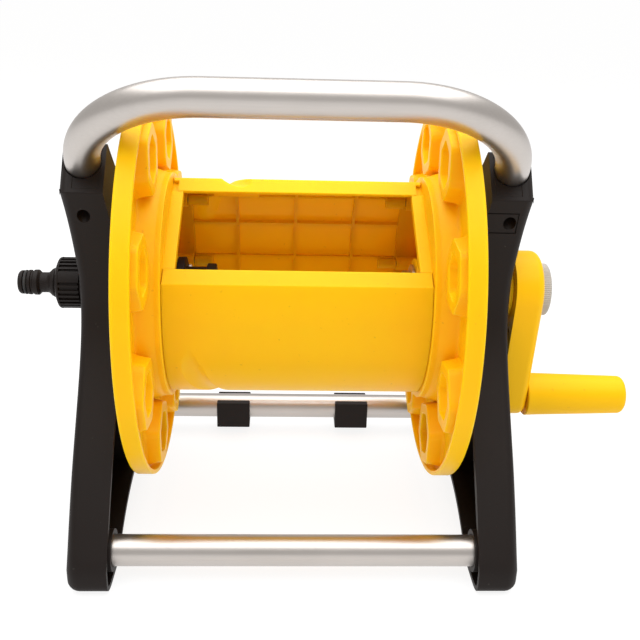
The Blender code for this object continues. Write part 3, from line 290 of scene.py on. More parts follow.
def sharpEdges(angle=50):  # a test for edgeBevel that takes every sharp edge
    limit = math.cos(math.radians(angle))
    return lambda a, b, faces: float(len(faces) == 2 and faces[0].normal.dot(faces[1].normal) < limit)


def handOver(piece, body, slot, *nodes, smooth=35, finish=None):
    facingOut(cleanMesh(piece))
    selectOnly(piece)
    bpy.ops.object.shade_smooth_by_angle(angle=math.radians(smooth))
    applied(piece, "WEIGHTED_NORMAL", keep_sharp=True)
    piece.data.materials.clear()
    piece.data.materials.append(finishes[finish or slot])
    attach(piece, body)
    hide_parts(*nodes)
    return piece


# Flat drawing

def arc(radius, start, end, count, middle=(0, 0)):
    angles = [start + (end - start) * i / count for i in range(count + 1)]
    return [(middle[0] + radius * math.cos(a), middle[1] + radius * math.sin(a)) for a in angles]


def curve(start, pullStart, pullEnd, end, count):  # a cubic curve without its last point
    points = []
    for i in range(count):
        t = i / count
        weights = ((1 - t) ** 3, 3 * t * (1 - t) ** 2, 3 * t * t * (1 - t), t**3)
        knots = (start, pullStart, pullEnd, end)
        points.append(tuple(sum(w * knot[axis] for w, knot in zip(weights, knots)) for axis in (0, 1)))
    return points


def softened(points, steps=4):  # a point's third number is the radius of its corner
    soft = []
    for i, point in enumerate(points):
        here = Vector(point[:2])
        if len(point) < 3:
            soft.append(tuple(here))
            continue
        before = Vector(points[i - 1][:2]) - here
        after = Vector(points[(i + 1) % len(points)][:2]) - here
        back = point[2] / math.tan(before.angle(after) / 2)
        start = here + before.normalized() * min(back, 0.48 * before.length)
        end = here + after.normalized() * min(back, 0.48 * after.length)
        for step in range(steps + 1):
            t = step / steps
            soft.append(tuple(start * (1 - t) ** 2 + here * 2 * t * (1 - t) + end * t * t))
    return soft


def inset(outline, distance):
    area = sum(a[0] * b[1] - b[0] * a[1] for a, b in zip(outline, outline[1:] + outline[:1]))
    turn = 1 if area > 0 else -1
    moved = []
    for i, point in enumerate(outline):
        before = Vector(point) - Vector(outline[i - 1])
        after = Vector(outline[(i + 1) % len(outline)]) - Vector(point)
        normals = [Vector((-run.y, run.x)).normalized() * turn for run in (before, after)]
        bisector = (normals[0] + normals[1]).normalized()
        moved.append(tuple(Vector(point) + bisector * (distance / bisector.dot(normals[0]))))
    return moved


def eased(value, start, span):  # from 0 at the start to 1 after the span, soft at both
    t = min(1.0, max(0.0, (value - start) / span))
    return t * t * (3 - 2 * t)


def roundAxle(radius, angle):  # (y, z), the angle from the front, up positive
    return (-radius * math.cos(angle), radius * math.sin(angle))


# Materials

class Signal:
    def __init__(self, finish, socket):
        self.finish = finish
        self.socket = socket

    def __add__(self, other):
        return self.finish.math("ADD", self, other)

    def __radd__(self, other):
        return self.finish.math("ADD", other, self)

    def __mul__(self, other):
        return self.finish.math("MULTIPLY", self, other)

    def __rmul__(self, other):
        return self.finish.math("MULTIPLY", other, self)


class Finish:
    def __init__(self, name):
        self.material = bpy.data.materials.new(name)
        self.material.use_nodes = True
        self.tree = self.material.node_tree
        self.shader = self.tree.nodes["Principled BSDF"]
        self.place = self.node("ShaderNodeTexCoord", {}, {}, "Object")

    def feed(self, socket, value):
        if isinstance(value, Signal):
            self.tree.links.new(value.socket, socket)
        else:
            socket.default_value = value

    def node(self, kind, settings, inputs, output=0):
        made = self.tree.nodes.new(kind)
        for key, value in settings.items():
            setattr(made, key, value)
        for key, value in inputs.items():
            self.feed(made.inputs[key], value)
        return Signal(self, made.outputs[output])

    def math(self, operation, first, second):
        return self.node("ShaderNodeMath", {"operation": operation}, {0: first, 1: second})

    def noise(self, scale, detail=2.0, stretch=None, roughness=0.5):
        place = self.place
        if stretch:
            place = self.node("ShaderNodeMapping", {}, {"Vector": place, "Scale": stretch})
        inputs = {"Vector": place, "Scale": scale, "Detail": detail, "Roughness": roughness}
        return self.node("ShaderNodeTexNoise", {}, inputs, "Fac")

    def between(self, value, low, high):  # 0 below low, 1 above high
        inputs = {"Value": value, "From Min": low, "From Max": high}
        return self.node("ShaderNodeMapRange", {"interpolation_type": "SMOOTHSTEP"}, inputs)

    def blend(self, share, first, second):
        return self.node("ShaderNodeMix", {"data_type": "RGBA"}, {0: share, 6: first, 7: second}, 2)

    def bump(self, height, strength, distance):
        inputs = {"Height": height, "Strength": strength, "Distance": distance}
        self.feed(self.shader.inputs["Normal"], self.node("ShaderNodeBump", {}, inputs))

    def set(self, **sockets):
        names = {
            "colour": "Base Color",
            "roughness": "Roughness",
            "metallic": "Metallic",
            "specular": "Specular IOR Level",
            "lets": "Subsurface Weight",
            "letsScale": "Subsurface Scale",
            "letsRadius": "Subsurface Radius",
        }
        for key, value in sockets.items():
            self.feed(self.shader.inputs[names[key]], value)
        return self.material


solidYellowLook = {
    "bright": (0.98, 0.56, 0.003, 1),
    "deep": (0.965, 0.525, 0.0025, 1),
    "speck": (0.6, 0.3, 0.01, 1),
    "steady": {"specular": 0.12},
}
thinYellowLook = {
    "bright": (0.985, 0.535, 0.003, 1),
    "deep": (0.97, 0.505, 0.0025, 1),
    "speck": (0.6, 0.3, 0.01, 1),
    # thin walls let some light through
    "steady": {"specular": 0.12, "lets": 0.6, "letsScale": 7 * mm, "letsRadius": (1.0, 0.94, 0.25)},
}


def yellowPlastic(name, look):
    finish = Finish(name)
    clouds = finish.noise(22, 3)  # slow change from the flow of the melt
    streaks = finish.noise(9, 4, (1, 6, 6))
    peel = finish.noise(900, 2)
    grain = finish.noise(4200, 1)
    colour = finish.blend(clouds * 0.6 + streaks * 0.4, look["deep"], look["bright"])
    specks = finish.between(finish.noise(310, 1), 0.74, 0.80)
    colour = finish.blend(specks * 0.35, colour, look["speck"])
    scuffs = finish.between(finish.noise(60, 5, (1, 9, 2)), 0.60, 0.72)
    finish.bump(peel * 0.7 + grain * 0.3, 0.10, 0.12 * mm)
    roughness = 0.33 + clouds * 0.08 + scuffs * 0.10 + grain * 0.05
    return finish.set(colour=colour, roughness=roughness, **look["steady"])


blackLook = {
    "base": (0.0080, 0.0047, 0.0036, 1),
    "pale": (0.0125, 0.0083, 0.0068, 1),
    "dust": (0.05, 0.045, 0.04, 1),
}


def blackPlastic():
    finish = Finish("black moulded plastic")
    clouds = finish.noise(16, 3)
    grain = finish.noise(2600, 2)
    pores = finish.noise(900, 3)
    colour = finish.blend(clouds, blackLook["base"], blackLook["pale"])
    dust = finish.between(finish.noise(420, 1), 0.76, 0.80)
    colour = finish.blend(dust * 0.5, colour, blackLook["dust"])
    finish.bump(grain * 0.6 + pores * 0.4, 0.22, 0.12 * mm)
    return finish.set(colour=colour, roughness=0.46 + grain * 0.10 + clouds * 0.06, specular=0.2)


metalLook = {"pale": (0.60, 0.56, 0.53, 1), "warm": (0.49, 0.455, 0.425, 1)}


def satinAluminium():
    finish = Finish("satin aluminium")
    grain = finish.noise(3200, 2)
    clouds = finish.noise(30, 2)
    brushed = finish.noise(900, 2, (0.03, 1, 1))  # fine lines along the tubes
    colour = finish.blend(clouds * 0.5 + brushed * 0.5, metalLook["warm"], metalLook["pale"])
    finish.bump(grain * 0.5 + brushed * 0.5, 0.10, 0.05 * mm)
    return finish.set(colour=colour, metallic=1.0, roughness=0.29 + grain * 0.08 + clouds * 0.04)


steelLook = {"pale": (0.72, 0.72, 0.73, 1), "dull": (0.50, 0.50, 0.48, 1)}


def zincSteel():
    finish = Finish("zinc plated steel")
    spangle = finish.noise(260, 3)
    grain = finish.noise(2400, 2)
    colour = finish.blend(finish.between(spangle, 0.35, 0.65), steelLook["dull"], steelLook["pale"])
    finish.bump(grain, 0.12, 0.04 * mm)
    return finish.set(colour=colour, metallic=1.0, roughness=0.26 + spangle * 0.16)


greyLook = {"pale": (0.54, 0.51, 0.46, 1), "deep": (0.42, 0.395, 0.36, 1)}


def greyPlastic():
    finish = Finish("grey moulded plastic")
    clouds = finish.noise(60, 3)
    grain = finish.noise(2600, 2)
    finish.bump(grain, 0.18, 0.1 * mm)
    colour = finish.blend(clouds, greyLook["deep"], greyLook["pale"])
    return finish.set(colour=colour, roughness=0.42 + grain * 0.12)


rubberLook = {"base": (0.011, 0.011, 0.011, 1), "bloom": (0.035, 0.034, 0.033, 1)}


def blackRubber():
    finish = Finish("black rubber")
    bloom = finish.noise(140, 4)
    grain = finish.noise(3000, 2)
    finish.bump(grain, 0.15, 0.06 * mm)
    colour = finish.blend(finish.between(bloom, 0.4, 0.8), rubberLook["base"], rubberLook["bloom"])
    return finish.set(colour=colour, roughness=0.60 + bloom * 0.15)


finishes = {
    "yellow_plastic": yellowPlastic("yellow moulded plastic", thinYellowLook),
    "solid_yellow": yellowPlastic("solid yellow plastic", solidYellowLook),
    "black_plastic": blackPlastic(),
    "satin_aluminium": satinAluminium(),
    "zinc_steel": zincSteel(),
    "grey_plastic": greyPlastic(),
    "black_rubber": blackRubber(),
}
print("materials made")

# Camera, floor and light

cameraLook = {
    "place": (-9.46, -576.19, 195.42),  # from the middle of the drum
    "lens": 49.3,
    "down": 20.93,
    "yaw": 2.63,
    "roll": 1.66,
    "sensor": 36,
    "clipStart": 0.01,
}


def addCamera(look):
    down, yaw, roll = [math.radians(look[key]) for key in ("down", "yaw", "roll")]
    right = Vector((math.cos(yaw), -math.sin(yaw), 0))
    ahead = Vector((math.sin(yaw) * math.cos(down), math.cos(yaw) * math.cos(down), -math.sin(down)))
    up = right.cross(ahead)
    acrossAxis = right * math.cos(roll) + up * math.sin(roll)
    upAxis = up * math.cos(roll) - right * math.sin(roll)
    selectOnly()
    bpy.ops.object.camera_add(location=at(*look["place"]))
    camera = bpy.context.object
    turned = Matrix((acrossAxis, upAxis, -ahead)).transposed().to_4x4()
    camera.matrix_world = Matrix.Translation(camera.location) @ turned
    camera.data.lens = look["lens"]
    camera.data.sensor_width = look["sensor"]
    camera.data.clip_start = look["clipStart"]
    bpy.context.scene.camera = camera


stageLook = {
    "floorSize": 400.0,
    "paper": {
        "Base Color": (0.2, 0.2, 0.2, 1),
        "Roughness": 1.0,
        "Specular IOR Level": 0.0,
        "Emission Color": (1, 1, 1, 1),
        "Emission Strength": 0.87,
    },
    "sky": (1.0, 0.985, 0.97, 1),
    "skyStrength": 0.62,
}
lightLook = {
    "name": "top softbox",
    "place": (0.0, -0.12, 1.4),
    "aim": (0, -0.12, 0),
    "size": 2.2,
    "power": 35.5,
}


def addStage():
    selectOnly()
    bpy.ops.mesh.primitive_plane_add(size=stageLook["floorSize"], location=(0, 0, 0))
    floor = bpy.context.object
    floor.name = "studio_floor"
    paper = bpy.data.materials.new("white paper")
    paper.use_nodes = True
    shader = paper.node_tree.nodes["Principled BSDF"]
    for socket, value in stageLook["paper"].items():
        shader.inputs[socket].default_value = value
    floor.data.materials.append(paper)
    world = bpy.data.worlds.new("studio")
    world.use_nodes = True
    sky = world.node_tree.nodes["Background"]
    sky.inputs["Color"].default_value = stageLook["sky"]
    sky.inputs["Strength"].default_value = stageLook["skyStrength"]
    bpy.context.scene.world = world
    aim = Vector(lightLook["aim"]) - Vector(lightLook["place"])
    facing = aim.to_track_quat("-Z", "Y").to_euler()
    bpy.ops.object.light_add(type="AREA", location=lightLook["place"], rotation=facing)
    light = bpy.context.object
    light.name = lightLook["name"]
    light.data.size = lightLook["size"]
    light.data.energy = lightLook["power"]
    bpy.context.scene.view_settings.view_transform = "Standard"


addCamera(cameraLook)
addStage()
print("camera and stage made")

# Carry handle: a bent tube, drawn as a ring that is pulled and spun along its way

handleLook = {
    "radius": 11,
    "wall": 1.5,
    "bend": 78,
    "lean": 40.7,
    "free": 72,  # length of a leg above the head of the frame
    "seat": 42,
    "spread": 133.5,
}
handleLow, handleHigh = [fromAxle(corner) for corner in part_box("carry_handle")]
barPlace = Vector((0, handleLow.y + handleLook["radius"], handleHigh.z - handleLook["radius"]))
lean = math.radians(handleLook["lean"])
legRun = Vector((0, math.cos(lean), -math.sin(lean)))  # down the legs
legSquare = Vector((0, math.sin(lean), math.cos(lean)))
headFace = barPlace + legRun * handleLook["free"]


def carryHandle(look):
    spread, bend = look["spread"], look["bend"]
    end = look["free"] + look["seat"]
    start = barPlace + legRun * end + Vector((-spread, 0, 0))
    selectOnly()
    bpy.ops.mesh.primitive_circle_add(
        vertices=56,
        radius=look["radius"] * mm,
        location=at(*start),
        rotation=legRun.to_track_quat("Z", "Y").to_euler(),
    )
    tube = settle(bpy.context.object)
    tube.name = "carryHandleTube"
    editAll(tube)
    straight = -legRun * (end - bend) * mm
    for side in (-1, 1):
        if side < 0:
            bpy.ops.mesh.extrude_region_move(TRANSFORM_OT_translate={"value": straight})
        centre = barPlace + legRun * bend + Vector((side * (spread - bend), 0, 0))
        bpy.ops.mesh.spin(steps=28, angle=-math.pi / 2, center=at(*centre), axis=legSquare)
        if side < 0:
            across = Vector((2 * (spread - bend) * mm, 0, 0))
            bpy.ops.mesh.extrude_region_move(TRANSFORM_OT_translate={"value": across})
    bpy.ops.mesh.extrude_region_move(TRANSFORM_OT_translate={"value": -straight})
    cleanMesh(tube)
    applied(tube, "SOLIDIFY", thickness=look["wall"] * mm, offset=-1)
    handOver(tube, "frame", "satin_aluminium", "carry_handle", smooth=45)


carryHandle(handleLook)
print("carry handle made")

# Cross bars and their clips

barLook = {"radius": 10, "wall": 1.5, "chamfer": 0.5, "holeX": 127.5, "hole": 2.3}


def crossBar(look, node):
    low, high = [fromAxle(corner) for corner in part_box(node)]
    centre = ((low.y + high.y) / 2, (low.z + high.z) / 2)
    half, radius, chamfer = high.x, look["radius"], look["chamfer"]
    inner = radius - look["wall"]
    profile = [
        (-half, inner),
        (-half, radius - chamfer),
        (chamfer - half, radius),
        (half - chamfer, radius),
        (half, radius - chamfer),
        (half, inner),
    ]
    bar = lathe(node + "Tube", profile, 64, centre)
    holes = []
    for x in (-look["holeX"], look["holeX"]):
        holes.append(rod((x, *centre), (x, centre[0], low.z - 2), look["hole"]))
    cut(bar, *holes)
    handOver(bar, "frame", "satin_aluminium", node)
    return centre


frontBar = crossBar(barLook, "front_cross_bar")
rearBar = crossBar(barLook, "rear_cross_bar")

clipLook = {
    "seat": 10.3,
    "wall": 3,
    "drop": 14.5,
    "frontRise": 8,
    "rearStart": -55,
    "rearEnd": 35,
    "edge": 0.7,
}


def barClip(look, node, body):
    low, high = [fromAxle(corner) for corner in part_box(node)]
    seat = look["seat"]
    outer = seat + look["wall"]
    rearStart, rearEnd = math.radians(look["rearStart"]), math.radians(look["rearEnd"])
    front = math.pi - math.asin(look["frontRise"] / seat)
    outline = [(-outer, look["frontRise"]), (-outer, -look["drop"])]
    outline += [(outer * math.cos(rearStart), -look["drop"])]
    outline += arc(outer, rearStart, rearEnd, 24)
    outline += arc(seat, rearEnd, front - fullTurn, 44)
    onBar = [(rearBar[0] + y, rearBar[1] + z) for y, z in outline]
    clip = prism(node + "Moulding", onBar, low.x, high.x)
    edgeBevel(clip, look["edge"], sharpEdges(40), 2)
    handOver(clip, body, "black_plastic", node)


barClip(clipLook, "left_bar_clip", "left_clip")
barClip(clipLook, "right_bar_clip", "right_clip")
print("bars and clips made")

# Side frames: a bell-shaped shell, open to the drum, with an arm and a head for the handle

frameLook = {
    "inner": 116,
    "outer": 142,
    "headOuter": 146.8,
    "headInner": 119.5,
    "floor": 138.6,
    "wall": 3.2,
    "footReach": 124,
    "footLength": 40,
    "toeHeight": 18,
    "toeRound": 16,
    "archRise": 25,
    "waistHalf": 33.5,
    "waistHeight": 3,
    "waistPull": 39,
    "toePullBack": 44,
    "toePullUp": 75,
    "pocketTop": 33,
    "flareStart": 15,
    "headBelow": 21.7,
    "headAbove": 13.5,
    "headLength": 50,
    "headRim": 2.4,
    "headSink": 0.3,
    "footEdge": 8.5,  # rounding of the outer edge at the foot
    "legEdge": 5.5,  # and further up
    "edgeTop": -95,  # height at which the change begins
    "edgeFall": 45,
    "ribWall": 3,
    "ribSetback": 3,
    "ribStart": 12,  # from the axle, where the hub is cut out afterwards
    "well": 24.5,
    "wellWall": 3,
    "stubHole": 14.3,
    "hubBore": 20.3,
    "hubBoss": 25.3,
    "hubProud": 4,
    "socketBore": 10.3,
    "socketWall": 3.2,
    "socketProud": 1.5,
    "socketEnd": 136,
    "postX": 127.5,
    "postRadius": 6.5,
    "postRecess": 5,
    "screwHole": 4.1,
    "screwRoom": 2.3,
    "screwSeat": 15.4,
    "screwRecess": 9,
    "tubeRoom": 11.6,
    "seamMiddle": (-40.7, 57.5),  # where the right arm's screw hole opens
    "seamRun": (-0.339, 0.941),  # up the arm there
    "seamHalf": 7.2,
    "seamEnd": 138.7,
    "seamWidth": 0.7,
    "seamDepth": 0.8,
}
floorZ = -axle.z / mm


def lowerOutline(look):
    half, rise, reach = look["waistHalf"], look["waistHeight"], look["footReach"]
    toe = (-reach, floorZ + look["toeHeight"])
    pullToe = (toe[0] + look["toePullBack"], toe[1] + look["toePullUp"])
    leg = curve(toe, pullToe, (-half, rise - look["waistPull"]), (-half, rise), 30)
    archHalf = reach - look["footLength"]
    archRadius = (archHalf**2 + look["archRise"] ** 2) / (2 * look["archRise"])
    spread = math.asin(archHalf / archRadius)
    middle = (0, floorZ + look["archRise"] - archRadius)
    arch = arc(archRadius, math.pi / 2 - spread, math.pi / 2 + spread, 32, middle)
    corners = softened([(reach, toe[1]), (reach, floorZ, look["toeRound"]), (0, floorZ)], 8)[1:-1]
    behind = [(-y, z) for y, z in reversed(leg)]
    return behind + corners + arch + [(-y, z) for y, z in reversed(corners)] + leg


def frameOutline(look):
    waist = (-look["waistHalf"], look["waistHeight"])
    chin = headFace - legSquare * look["headBelow"]
    crown = headFace + legSquare * look["headAbove"]
    nape = crown + legRun * look["headLength"]
    rise = chin.z - waist[1]
    pullChin = (chin.y + rise / 6, chin.z - rise / 3)
    arm = curve(waist, (waist[0], waist[1] + rise / 3), pullChin, (chin.y, chin.z), 14)
    rear = (-waist[0], waist[1])
    fall = nape.z - rear[1]
    shoulder = nape + legRun * fall / 3
    back = curve((nape.y, nape.z), (shoulder.y, shoulder.z), (rear[0], rear[1] + fall / 3), rear, 14)
    head = softened([arm[-1], (chin.y, chin.z, 1.2), (crown.y, crown.z, 2.0), back[0]], 4)[1:-1]
    return lowerOutline(look) + arm + head + back + [rear]


def besideFrame(name, corners):  # an outline of (x, z) points, drawn right through from front to rear
    far = 2 * abs(floorZ)
    return slab(name, [at(x, -far, z) for x, z in corners], (0, 2 * far * mm, 0))


def frameShell(look):  # what both sides share, as the left one
    inner, outer = -look["inner"], -look["outer"]
    floor, head = -look["floor"], -look["headOuter"]
    shell = prism("sideFrameShell", frameOutline(look), inner, head)
    far = 2 * abs(floorZ)
    chin = headFace - legSquare * look["headBelow"]
    flare = [(outer, -far), (outer, look["flareStart"]), (head, chin.z), (2 * head, headFace.z)]
    cut(shell, besideFrame("flareTool", flare + [(2 * head, -far)]))
    slim = -look["headInner"]
    slope = [(inner, look["pocketTop"] + 2), (slim, chin.z), (slim, far), (0, far)]
    cut(shell, besideFrame("slimTool", slope))
    cleanMesh(shell)

    def outerEdge(a, b, faces):
        if len(faces) != 2:
            return 0.0
        facing = sorted(abs(face.normal.x) for face in faces)
        if facing[0] > 0.5 or facing[1] < 0.9 or min(-a.x, -b.x) < look["outer"] - 1:
            return 0.0
        down = min(1.0, max(0.0, (look["edgeTop"] - (a.z + b.z) / 2) / look["edgeFall"]))
        return (look["legEdge"] + (look["footEdge"] - look["legEdge"]) * down) / look["footEdge"]

    edgeBevel(shell, look["footEdge"], outerEdge, 6)
    # a shallow step round the end face of the head
    editNone(shell)
    for face in shell.data.polygons:
        place = fromAxle(face.center)
        onEnd = abs((place - headFace).dot(legRun)) < 0.2
        face.select = onEnd and face.normal.dot(-legRun) > 0.99 and face.area > 100 * mm * mm
    bpy.ops.object.mode_set(mode="EDIT")
    bpy.ops.mesh.select_mode(type="FACE")
    bpy.ops.mesh.inset(thickness=look["headRim"] * mm, depth=0)
    bpy.ops.mesh.inset(thickness=look["headSink"] * mm, depth=-look["headSink"] * mm)
    bpy.ops.mesh.select_mode(type="VERT")
    bpy.ops.object.mode_set(mode="OBJECT")
    # hollow and ribs
    mouth, root = inner + 3, floor - 1.2
    top = [(-look["waistHalf"], look["waistHeight"]), (-look["waistHalf"], look["pocketTop"])]
    top += [(look["waistHalf"], look["pocketTop"]), (look["waistHalf"], look["waistHeight"])]
    cut(shell, prism("pocketTool", inset(lowerOutline(look) + top, look["wall"]), mouth, floor))
    ends = [(0, look["pocketTop"]), (0, floorZ + look["archRise"] + 1.5), frontBar, rearBar]
    for end in ends:
        start = Vector(end).normalized() * look["ribStart"]
        add(shell, wallBetween(start, end, root, inner - look["ribSetback"], look["ribWall"]))
    for y, z in (frontBar, rearBar):
        proud = inner + look["socketProud"]
        post = (-look["postX"], y)
        add(shell, pin(proud, root, look["socketBore"] + look["socketWall"], (y, z)))
        add(shell, rod((*post, floorZ + 1.5), (*post, z), look["postRadius"]))
        cut(shell, pin(proud + 3, -look["socketEnd"], look["socketBore"], (y, z)))
        cut(shell, rod((*post, floorZ - 3), (*post, floorZ + look["postRecess"]), look["screwHole"]))
        cut(shell, rod((*post, floorZ), (*post, z), look["screwRoom"], sides=24))
    aside = Vector((-handleLook["spread"], 0, 0))
    seat = headFace + aside + legRun * (handleLook["seat"] + 0.3)
    cut(shell, rod(headFace + aside - legRun * 30, seat, look["tubeRoom"], sides=64))
    place = headFace + aside + legRun * look["screwSeat"]
    recess = place - legSquare * (look["headBelow"] - look["screwRecess"])
    cut(shell, rod(place - legSquare * 60, recess, look["screwHole"]))
    cut(shell, rod(recess - legSquare, place, look["screwRoom"], sides=24))
    return shell


def mouldSeam(look):  # fine lines of a slide in the mould round the right screw hole, before mirroring
    middle, run = Vector(look["seamMiddle"]), Vector(look["seamRun"])
    inward = Vector((run.y, -run.x)) * look["seamDepth"]
    half, end, width = look["seamHalf"], -look["seamEnd"], look["seamWidth"]
    ends = middle - run * half, middle + run * half
    lines = [wallBetween(*ends, end, end + width, 2 * look["seamDepth"])]
    for turn in (-1, 1):
        place = middle + run * half * turn
        lines.append(wallBetween(place - inward, place + inward, end, 3 - look["inner"], width))
    return lines


def sideFrames(look):
    mirror = Matrix.Translation(axle) @ Matrix.Scale(-1, 4, alongAxle) @ Matrix.Translation(-axle)
    left = frameShell(look)
    left.name = "leftFrameShell"
    twin = copied(left, "rightFrameTwin")  # worked on as a left one, then mirrored
    mouth, root = 3 - look["inner"], -look["floor"] - 1.2
    add(left, pin(-look["inner"], root, look["well"] + look["wellWall"], sides=72))
    cut(left, pin(mouth, -look["floor"], look["well"], sides=72))
    cut(left, pin(mouth, -look["outer"] - 3, look["stubHole"], sides=64))
    proud = look["hubProud"] - look["inner"]
    add(twin, pin(proud, root, look["hubBoss"], sides=72))
    cut(twin, pin(proud + 3, -look["outer"] - 9, look["hubBore"], sides=72))
    for line in mouldSeam(look):
        cut(twin, line)
    right = copied(twin, "rightFrameShell", mirror)
    bpy.data.objects.remove(twin)
    handOver(left, "frame", "black_plastic", "left_side_frame")
    handOver(right, "frame", "black_plastic", "right_side_frame")


sideFrames(frameLook)
print("side frames made")

# Water inlet on the left of the axle

inletLook = {
    "bore": 5,
    "journal": 8.7,
    "stub": 14,
    "stubCollar": 17,
    "thread": 13,
    "threadDepth": 0.7,
    "threadPitch": 1.8,
    "lockNutLow": 130.2,
    "lockNutHigh": 138.7,
    "stubFace": 142.3,
    "threadStart": 145.3,
    "threadEnd": 155.3,
    "swivelEnd": 75.3,
    "grooves": (84.3, 78.3),
    "grooveFloor": 6.35,
    "grooveHalf": 1.4,
    "ring": 1.1,
    "ringMiddle": 7.75,
    "lockNut": 21.2,
}


def inletTube(look):
    thread, depth, pitch = look["thread"], look["threadDepth"], look["threadPitch"]
    profile = [(-look["threadEnd"], look["bore"]), (-look["threadEnd"], thread - depth)]
    turn = -look["threadEnd"] + 0.5
    while turn + pitch < -look["threadStart"]:
        profile += [(turn, thread - depth), (turn + 0.3 * pitch, thread), (turn + 0.5 * pitch, thread)]
        profile += [(turn + 0.8 * pitch, thread - depth)]
        turn += pitch
    profile += [(-look["threadStart"], thread - depth), (-look["threadStart"], look["stubCollar"], 0.5)]
    profile += [(-look["stubFace"], look["stubCollar"], 0.5), (-look["stubFace"], look["stub"])]
    profile += [(-look["lockNutLow"], look["stub"], 0.5), (-look["lockNutLow"], look["journal"])]
    for middle in look["grooves"]:
        low, high = -middle - look["grooveHalf"], -middle + look["grooveHalf"]
        floor, outside = look["grooveFloor"], look["journal"]
        profile += [(low, outside), (low, floor), (high, floor), (high, outside)]
    profile += [(-look["swivelEnd"], look["journal"], 0.4), (-look["swivelEnd"], look["bore"])]
    handOver(lathe("inletStub", softened(profile, 3), 72), "frame", "black_plastic", "inlet_tube")
    for middle, node in zip(reversed(look["grooves"]), ("inner_swivel_o_ring", "outer_swivel_o_ring")):
        oRing(node, -middle, look["ringMiddle"], look["ring"])
    corners = [(*point, 1.2) for point in arc(look["lockNut"], 0, fullTurn, 6)[:-1]]
    nut = prism("stubLockNut", softened(corners, 3), -look["lockNutHigh"], -look["lockNutLow"])
    edgeBevel(nut, 0.8, sharpEdges(60), 2)
    cut(nut, pin(-look["lockNutHigh"] - 3, 3 - look["lockNutLow"], look["stub"] + 0.3, sides=64))
    handOver(nut, "frame", "black_plastic", "inlet_lock_nut")


def oRing(node, x, middle, section):
    loop = [(x + a, middle + r) for a, r in arc(section, 0, fullTurn, 14)[:-1]]
    handOver(lathe(node + "Seal", loop, 64), "frame", "black_rubber", node, smooth=60)


inletTube(inletLook)

connectorLook = {
    "start": 145.6,
    "end": 162.6,
    "tip": 189.1,
    "bore": 4.5,
    "threadRoom": 13.3,
    "seat": 158.4,
    "core": 16.2,
    "shoulder": 13.6,
    "rim": 17.75,
    "rimWidth": 3.2,
    "padSpread": 30.5,  # width of a wide pad, in degrees
    "padMiddle": 31.0,
    "ribSpread": 5.6,
    "ribPitch": 12.0,
    "ribCount": 5,
    "ribTop": 17.55,
    "crest": 0.82,  # width of a pad or rib at its top, as a share of its foot
    "ringFromTip": 4.77,
    "ringMiddle": 7.3,
    "ring": 1.1,
    "washerNear": 155.6,
    "washerFar": 158.1,
    "washerHole": 5.1,
    "washer": 12.9,
}


def inletConnector(look):
    tip, end, start, core, rim = [look[key] for key in ("tip", "end", "start", "core", "rim")]
    lips = [  # from the tip: distance, radius and rounding of the nipple's steps
        (0, look["bore"], 0.6),
        (0, 6.9, 1.2),
        (1.3, 8.0, 1.0),
        (3.2, 8.1, 0.4),
        (3.4, 6.0),
        (6.1, 6.0),
        (6.3, 8.4, 0.6),
        (8.4, 8.5, 0.6),
        (8.8, 7.7, 0.4),
        (9.8, 7.8, 0.4),
        (10.4, 8.6, 0.8),
        (13.2, 8.7, 0.8),
        (15.0, 6.9, 1.0),
        (20.2, 6.9, 3.0),
        (22.6, 9.3, 1.0),
        (24.4, 10.2, 1.0),
        (25.4, 9.6, 0.5),
        (25.6, 9.0),
        (26.5, 9.0, 0.5),
    ]
    profile = [(-tip + point[0], *point[1:]) for point in lips]
    profile += [
        (-end, look["shoulder"], 1.0),
        (-end + 1.6, rim - 0.5, 1.2),
        (-end + look["rimWidth"], rim, 0.6),
        (-end + look["rimWidth"] + 0.5, core, 0.4),
        (-start - 1.2, core, 0.5),
        (-start, core - 1.0),
        (-start, look["threadRoom"]),
        (-look["seat"], look["threadRoom"]),
        (-look["seat"], look["bore"]),
    ]
    body = lathe("inletNutAndNipple", softened(profile, 4), 96)
    low, high = -end + look["rimWidth"] - 0.6, -start - 0.3
    grips = []
    for quarter in range(4):
        middle = look["padMiddle"] + 90 * quarter
        first = middle + 45 - look["ribPitch"] * (look["ribCount"] - 1) / 2
        grips.append((middle, look["padSpread"], look["ribTop"] - 0.1))
        for i in range(look["ribCount"]):
            grips.append((first + look["ribPitch"] * i, look["ribSpread"], look["ribTop"]))
    bars = []
    for middle, spread, top in grips:
        half = math.radians(spread / 2)
        steps = 2 if spread < 10 else 6
        turn = math.radians(middle)
        aside = [half * (2 * i / steps - 1) * look["crest"] for i in range(steps + 1)]
        crest = [roundAxle(top, turn + angle) for angle in aside]
        foot = [roundAxle(core - 0.8, turn + side * half) for side in (1, -1)]
        bars.append(prism("gripBar", crest + foot, low, high))
    add(body, *bars)
    handOver(body, "frame", "black_plastic", "inlet_connector", smooth=30)
    oRing("connector_o_ring", -tip + look["ringFromTip"], look["ringMiddle"], look["ring"])
    near, far, hole = -look["washerNear"], -look["washerFar"], look["washerHole"]
    washer = [(far, hole), (far, look["washer"]), (near, look["washer"]), (near, hole)]
    washer = [(*corner, 0.4) for corner in washer]
    handOver(lathe("inletFlatSeal", softened(washer, 3), 64), "frame", "black_rubber", "inlet_washer")


inletConnector(connectorLook)
print("water inlet made")

# Flanges: a turned dish with eight ringed holes

